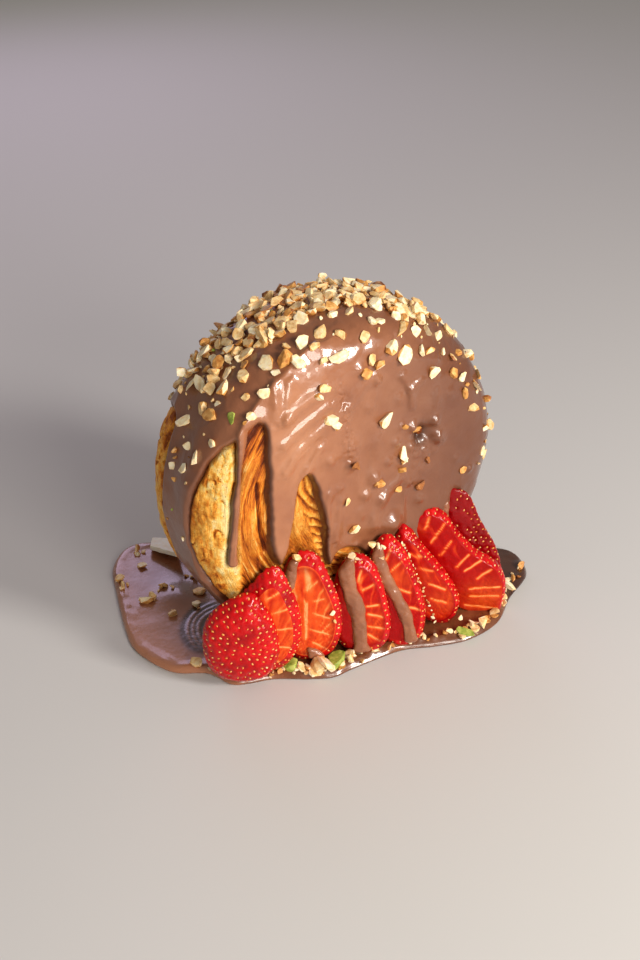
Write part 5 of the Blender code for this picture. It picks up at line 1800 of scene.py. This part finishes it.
# %% The pool's outline and its height
POOL_OUTLINE = [
    (0, 47), (-19, 55), (-30, 62), (-41, 65.2), (-51, 57), (-57, 42), (-63.5, 22), (-65.3, 10), (-61, -4),
    (-52, -11), (-48.6, -19.5), (-44, -22.3), (-36, -25), (-27, -31), (-20, -34.5), (-12, -34.5),
    (5, -35.5), (16, -40), (27, -43.2), (40, -41.5), (52, -33.5), (66, -26), (70.6, -14), (64, -4), (52, 8),
    (44, 26), (24, 38),
]
POOL_CENTRE, POOL_SHARE = np.array([2.0, 8.0]), 0.996
POOL_LOOP = POOL_CENTRE + (smooth_loop(POOL_OUTLINE, 12) - POOL_CENTRE) * POOL_SHARE
RIPPLE_CENTRE, RIPPLE_RADII, RIPPLE_SWEEP = (-33.0, 1.5), (13.0, 14.7, 16.4), (86.0, 200.0)
LUMP_PLACE, LUMP_REACH, LUMP_RISE, RIPPLE_RISE = (-41.0, 27.5), (6.0, 7.8), 1.7, 0.26


def on_floor(points):
    """The same places with no height, to look up in the random field."""
    return np.column_stack([points[:, :2], np.zeros(len(points))])


def ripple_rise(points, sharpness):
    """Three arcs where the sauce slid off the roll and set, 1 along each crest."""
    flat = on_floor(points)
    offset = points[:, :2] - np.array(RIPPLE_CENTRE)
    radius, turn = np.hypot(*offset.T), np.degrees(np.arctan2(offset[:, 1], offset[:, 0])) % 360
    share = np.clip((turn - RIPPLE_SWEEP[0]) / (RIPPLE_SWEEP[1] - RIPPLE_SWEEP[0]), 0, 1)
    crests = sum(bell(radius + 0.3 * noise(flat, 7, 53) - r, sharpness) for r in RIPPLE_RADII)
    return crests * np.sqrt(np.sin(math.pi * share))


def pool_height(points):
    """Height of the pool's surface over the floor."""
    inside = np.clip(inside_distance(points[:, :2], POOL_LOOP), 0, None)
    flat = on_floor(points)
    edge = np.sqrt(1 - (1 - np.clip(inside / (1.7 + 0.8 * noise(flat, 4, 54)), 0, 1)) ** 2)
    calm = 1 - 0.7 * smooth_step(-points[:, 0], 30, 40)
    waves = 0.3 * noise(flat, 3.0, 55) * smooth_step(6 - inside, 0, 4) + 0.1 * noise(flat, 6, 52)
    waves = waves * calm + 0.16 * noise(flat, 15, 51) * calm + 0.2 * bell(inside - 2.4, 2.0)
    at_front = smooth_step(-points[:, 1], 22, 30) * smooth_step(7 - inside, 0, 5) * (points[:, 0] > -34)
    waves += 0.9 * bubbles(flat, 3.4, 57) * at_front
    lump = LUMP_RISE * patch(points[:, 0], points[:, 1], LUMP_PLACE, LUMP_REACH)
    ripples = RIPPLE_RISE * ripple_rise(points, 0.6)
    return POOL_DEPTH * edge + (waves + lump + ripples) * smooth_step(inside, 0.3, 2.5)


# %% The pool's masks
def pool_tint(points):
    """Painted light at the left, and painted shade beside the roll, in the grooves and at the right, with the
    front darker.
    """
    x, y = points[:, 0], points[:, 1]
    # Painted light on the lit left of the pool, less towards the back
    light = smooth_step(-x + 0.25 * y, 34, 50) * (1 - 0.5 * smooth_step(y, 22, 40))
    # Painted shadow of the roll beside it
    roll_shadow = patch(x, y, (-38, 33), (9, 15))
    crests = smooth_step(ripple_rise(points, 0.5), 0.3, 0.9)
    # Painted shade in the grooves between the crests
    groove_shade = smooth_step(ripple_rise(points, 3.0), 0.2, 1.0) * (1 - crests)
    # Darker towards the front, and painted shade at the right
    front = 0.3 * smooth_step(-y, 22, 34) + 0.85 * smooth_step(x, 44, 56)
    dark = np.clip(0.6 * roll_shadow + 0.8 * groove_shade + front, 0, 1)
    return np.stack([0.8 * light * (1 - dark), dark, 0 * x], axis=1)


# %% [markdown]
# The pool's rings are its outline, shrunk towards its middle. They lie closest at the edge, by the bead.

# %% Make the pool
POOL_STEP, EDGE_HEIGHT, UNDERSIDE = 0.6, 0.7, 0.992


def outline_walk(loop):
    """A closed loop as its corners, the share of the way round to each of them, and its length."""
    closed = np.vstack([loop, loop[:1]])
    sides = np.hypot(*np.diff(closed, axis=0).T)
    return closed, np.concatenate([[0], np.cumsum(sides)]) / sides.sum(), sides.sum()


def round_outline(walk, scale, step):
    """Points evenly round a loop, as many as it needs when it is shrunk to a scale."""
    closed, shares, length = walk
    count = 1 if scale == 0 else max(8, round(length * scale / step))
    share = np.arange(count) / count
    return np.stack([np.interp(share, shares, closed[:, k]) for k in range(2)], axis=1)


scales = [0.0]
while scales[-1] < 0.93:
    scales.append(scales[-1] + 0.01)
rings, pool_walk = [], outline_walk(POOL_LOOP)
for scale in [*scales, *np.linspace(0.94, 1.0, 14)]:
    flat = round_outline(pool_walk, scale, POOL_STEP)
    flat = POOL_CENTRE + (flat - POOL_CENTRE) * scale
    rings.append(np.column_stack([flat, pool_height(flat)]))
under = rings[-1].copy()
under[:, :2] = POOL_CENTRE + (under[:, :2] - POOL_CENTRE) * UNDERSIDE
under[:, 2] = 0.0
rings[-1][:, 2] = EDGE_HEIGHT
rings += [under, np.array([[*POOL_CENTRE, 0.0]])]
vertices, triangles = stitch(rings)
pool = make_piece("pool", vertices, face_out(vertices, triangles), [sauce])
paint(pool, "pour", pool_tint(vertices))
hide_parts("sauce_pool")

# %% [markdown]
# ## What lies in the pool
# Nuts and bits of pistachio fell beside the roll, most of them in front of the slices, along the bead.
# Each is written as x, y and size, and has two smaller bits beside it.

# %% Where nuts fell in the pool
POOL_NUTS = [
    (-40.1, 59.4, 3), (-43.1, 50.3, 2.8), (-53.1, 47, 3.2), (-53.8, 42.5, 3), (-42.9, 34.5, 3),
    (-50.8, 30.9, 3.2), (-48.4, 32, 2.6), (-30.5, 34.7, 2.8), (-34, 25.1, 3), (-38.6, 19.4, 2.4),
    (-47.5, 19.4, 2.2), (-53.1, -6.7, 3.2), (-30.1, -24.3, 4.6), (-27.5, -27.2, 3), (-20.6, -32, 5),
    (-17.2, -31.9, 4.6), (-20.2, -34.4, 4.4), (-23.2, -30.5, 4.2), (-11.9, -30.6, 3.2), (-13.3, -33.8, 3.6),
    (-7.5, -34, 3), (-4.5, -34, 3.4), (2.4, -36.2, 4), (7.2, -37.4, 3), (11.8, -38.6, 4),
    (16.1, -40.2, 3.4), (18.5, -41.5, 4.6), (22.9, -42, 4.4), (25.9, -41.6, 3.6), (30, -42, 3),
    (34.1, -41, 3.4), (40.8, -38.5, 2.8), (46.8, -35.5, 2.6), (54, -30, 3), (54, 3, 3.2), (-25, 52, 3.4),
    (8, 42, 3.6), (34, 30, 3.4),
]
# Which of them are green, counted from 0
PISTACHIOS = {12, 15, 28}
CREAM_TONES = [(1, 1), (1, 0), (0, 1)]
print(len(POOL_NUTS), "nuts in the pool, with their bits")

# %% Nuts in the pool
rng = np.random.default_rng(61)
places, sizes, tones = [], [], []
for order, (x, y, size) in enumerate(POOL_NUTS):
    for bit in range(3):
        dx, dy = rng.normal(0, size * 0.3 * bit, 2)
        places.append((x + dx, y + dy))
        sizes.append(size * (1.25 if bit == 0 else rng.uniform(0.35, 0.7)))
        at_front = y < -20
        green_one = bit == 0 and order in PISTACHIOS
        tones.append(GREEN if green_one else (TONES, CREAM_TONES)[at_front][rng.integers(3)])
front_edge = POOL_LOOP[POOL_LOOP[:, 1] < -23]
for spot in front_edge[rng.integers(len(front_edge), size=90)]:
    inward = (POOL_CENTRE - spot) / np.hypot(*(POOL_CENTRE - spot))
    places.append(tuple(spot + inward * rng.uniform(0.7, 4.0) + rng.normal(0, 0.8, 2)))
    sizes.append(rng.uniform(0.9, 2.6))
    tones.append(CREAM_TONES[rng.integers(3)] if rng.uniform() < 0.6 else (2, 3))
places, sizes = np.array(places), np.array(sizes)
kept = inside_distance(places, POOL_LOOP) > 0.2 * sizes
places, sizes, tones = places[kept], sizes[kept], [tone for tone, keep in zip(tones, kept) if keep]
places = np.column_stack([places, pool_height(places) + sizes * 0.2])
nuts_in_pool = chips_piece("nuts_in_pool", nut_kinds, rng, places, sizes, tones, (0, 0, 1), 0.5)

# %% [markdown]
# A shaving of white chocolate broke off in layers. It is a thin plate, with its edge stepped and rough. Its
# rings run out over the underside, up the edge, and back to the middle on top.

# %% Make the white flake
FLAKE_OUTLINE = np.array([(-33, 62), (-28.3, 58.8), (-27.6, 53), (-30.8, 42), (-37, 55.5)])
FLAKE_TILT, FLAKE_THICK, FLAKE_STEP = (-9.0, 6.0), 1.6, 0.35
flake_middle = FLAKE_OUTLINE.mean(axis=0)
flake_walk = outline_walk(FLAKE_OUTLINE - flake_middle)
out_below = [(scale, 0) for scale in (0, *np.linspace(0.1, 0.97, 16))]
up_the_edge = [(1.0, depth) for depth in np.linspace(0.06, 0.94, 9)]
back_on_top = [(scale, 1) for scale in (*np.linspace(0.97, 0.1, 16), 0)]
rings = []
for scale, depth in out_below + up_the_edge + back_on_top:
    flat = round_outline(flake_walk, scale, FLAKE_STEP) * scale
    solid = np.column_stack([flat, np.full(len(flat), depth * FLAKE_THICK)])
    sheet = np.full(len(flat), round(depth * 4) * 7.0)
    layer = 0.5 * noise(np.column_stack([flat * 0.6, sheet]), 1.5, 71)
    solid[:, :2] *= 1 - 0.03 * (1 + layer)[:, None] * (scale > 0.9)
    solid[:, 2] += (0.14 * noise(solid, 2.2, 72) + 0.07 * noise(solid, 0.9, 73)) * (scale < 1)
    rings.append(solid)
vertices, triangles = stitch(rings)
tip, lean = (math.radians(angle) for angle in FLAKE_TILT)
turn = Matrix.Rotation(tip, 3, "X") @ Matrix.Rotation(lean, 3, "Y")
vertices = vertices @ np.array(turn).T
vertices[:, 2] += POOL_DEPTH + 0.1 - vertices[:, 2].min()
vertices[:, :2] += flake_middle
flake = make_piece("white_shaving", vertices, face_out(vertices, triangles), [white_chocolate])
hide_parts("white_flake")
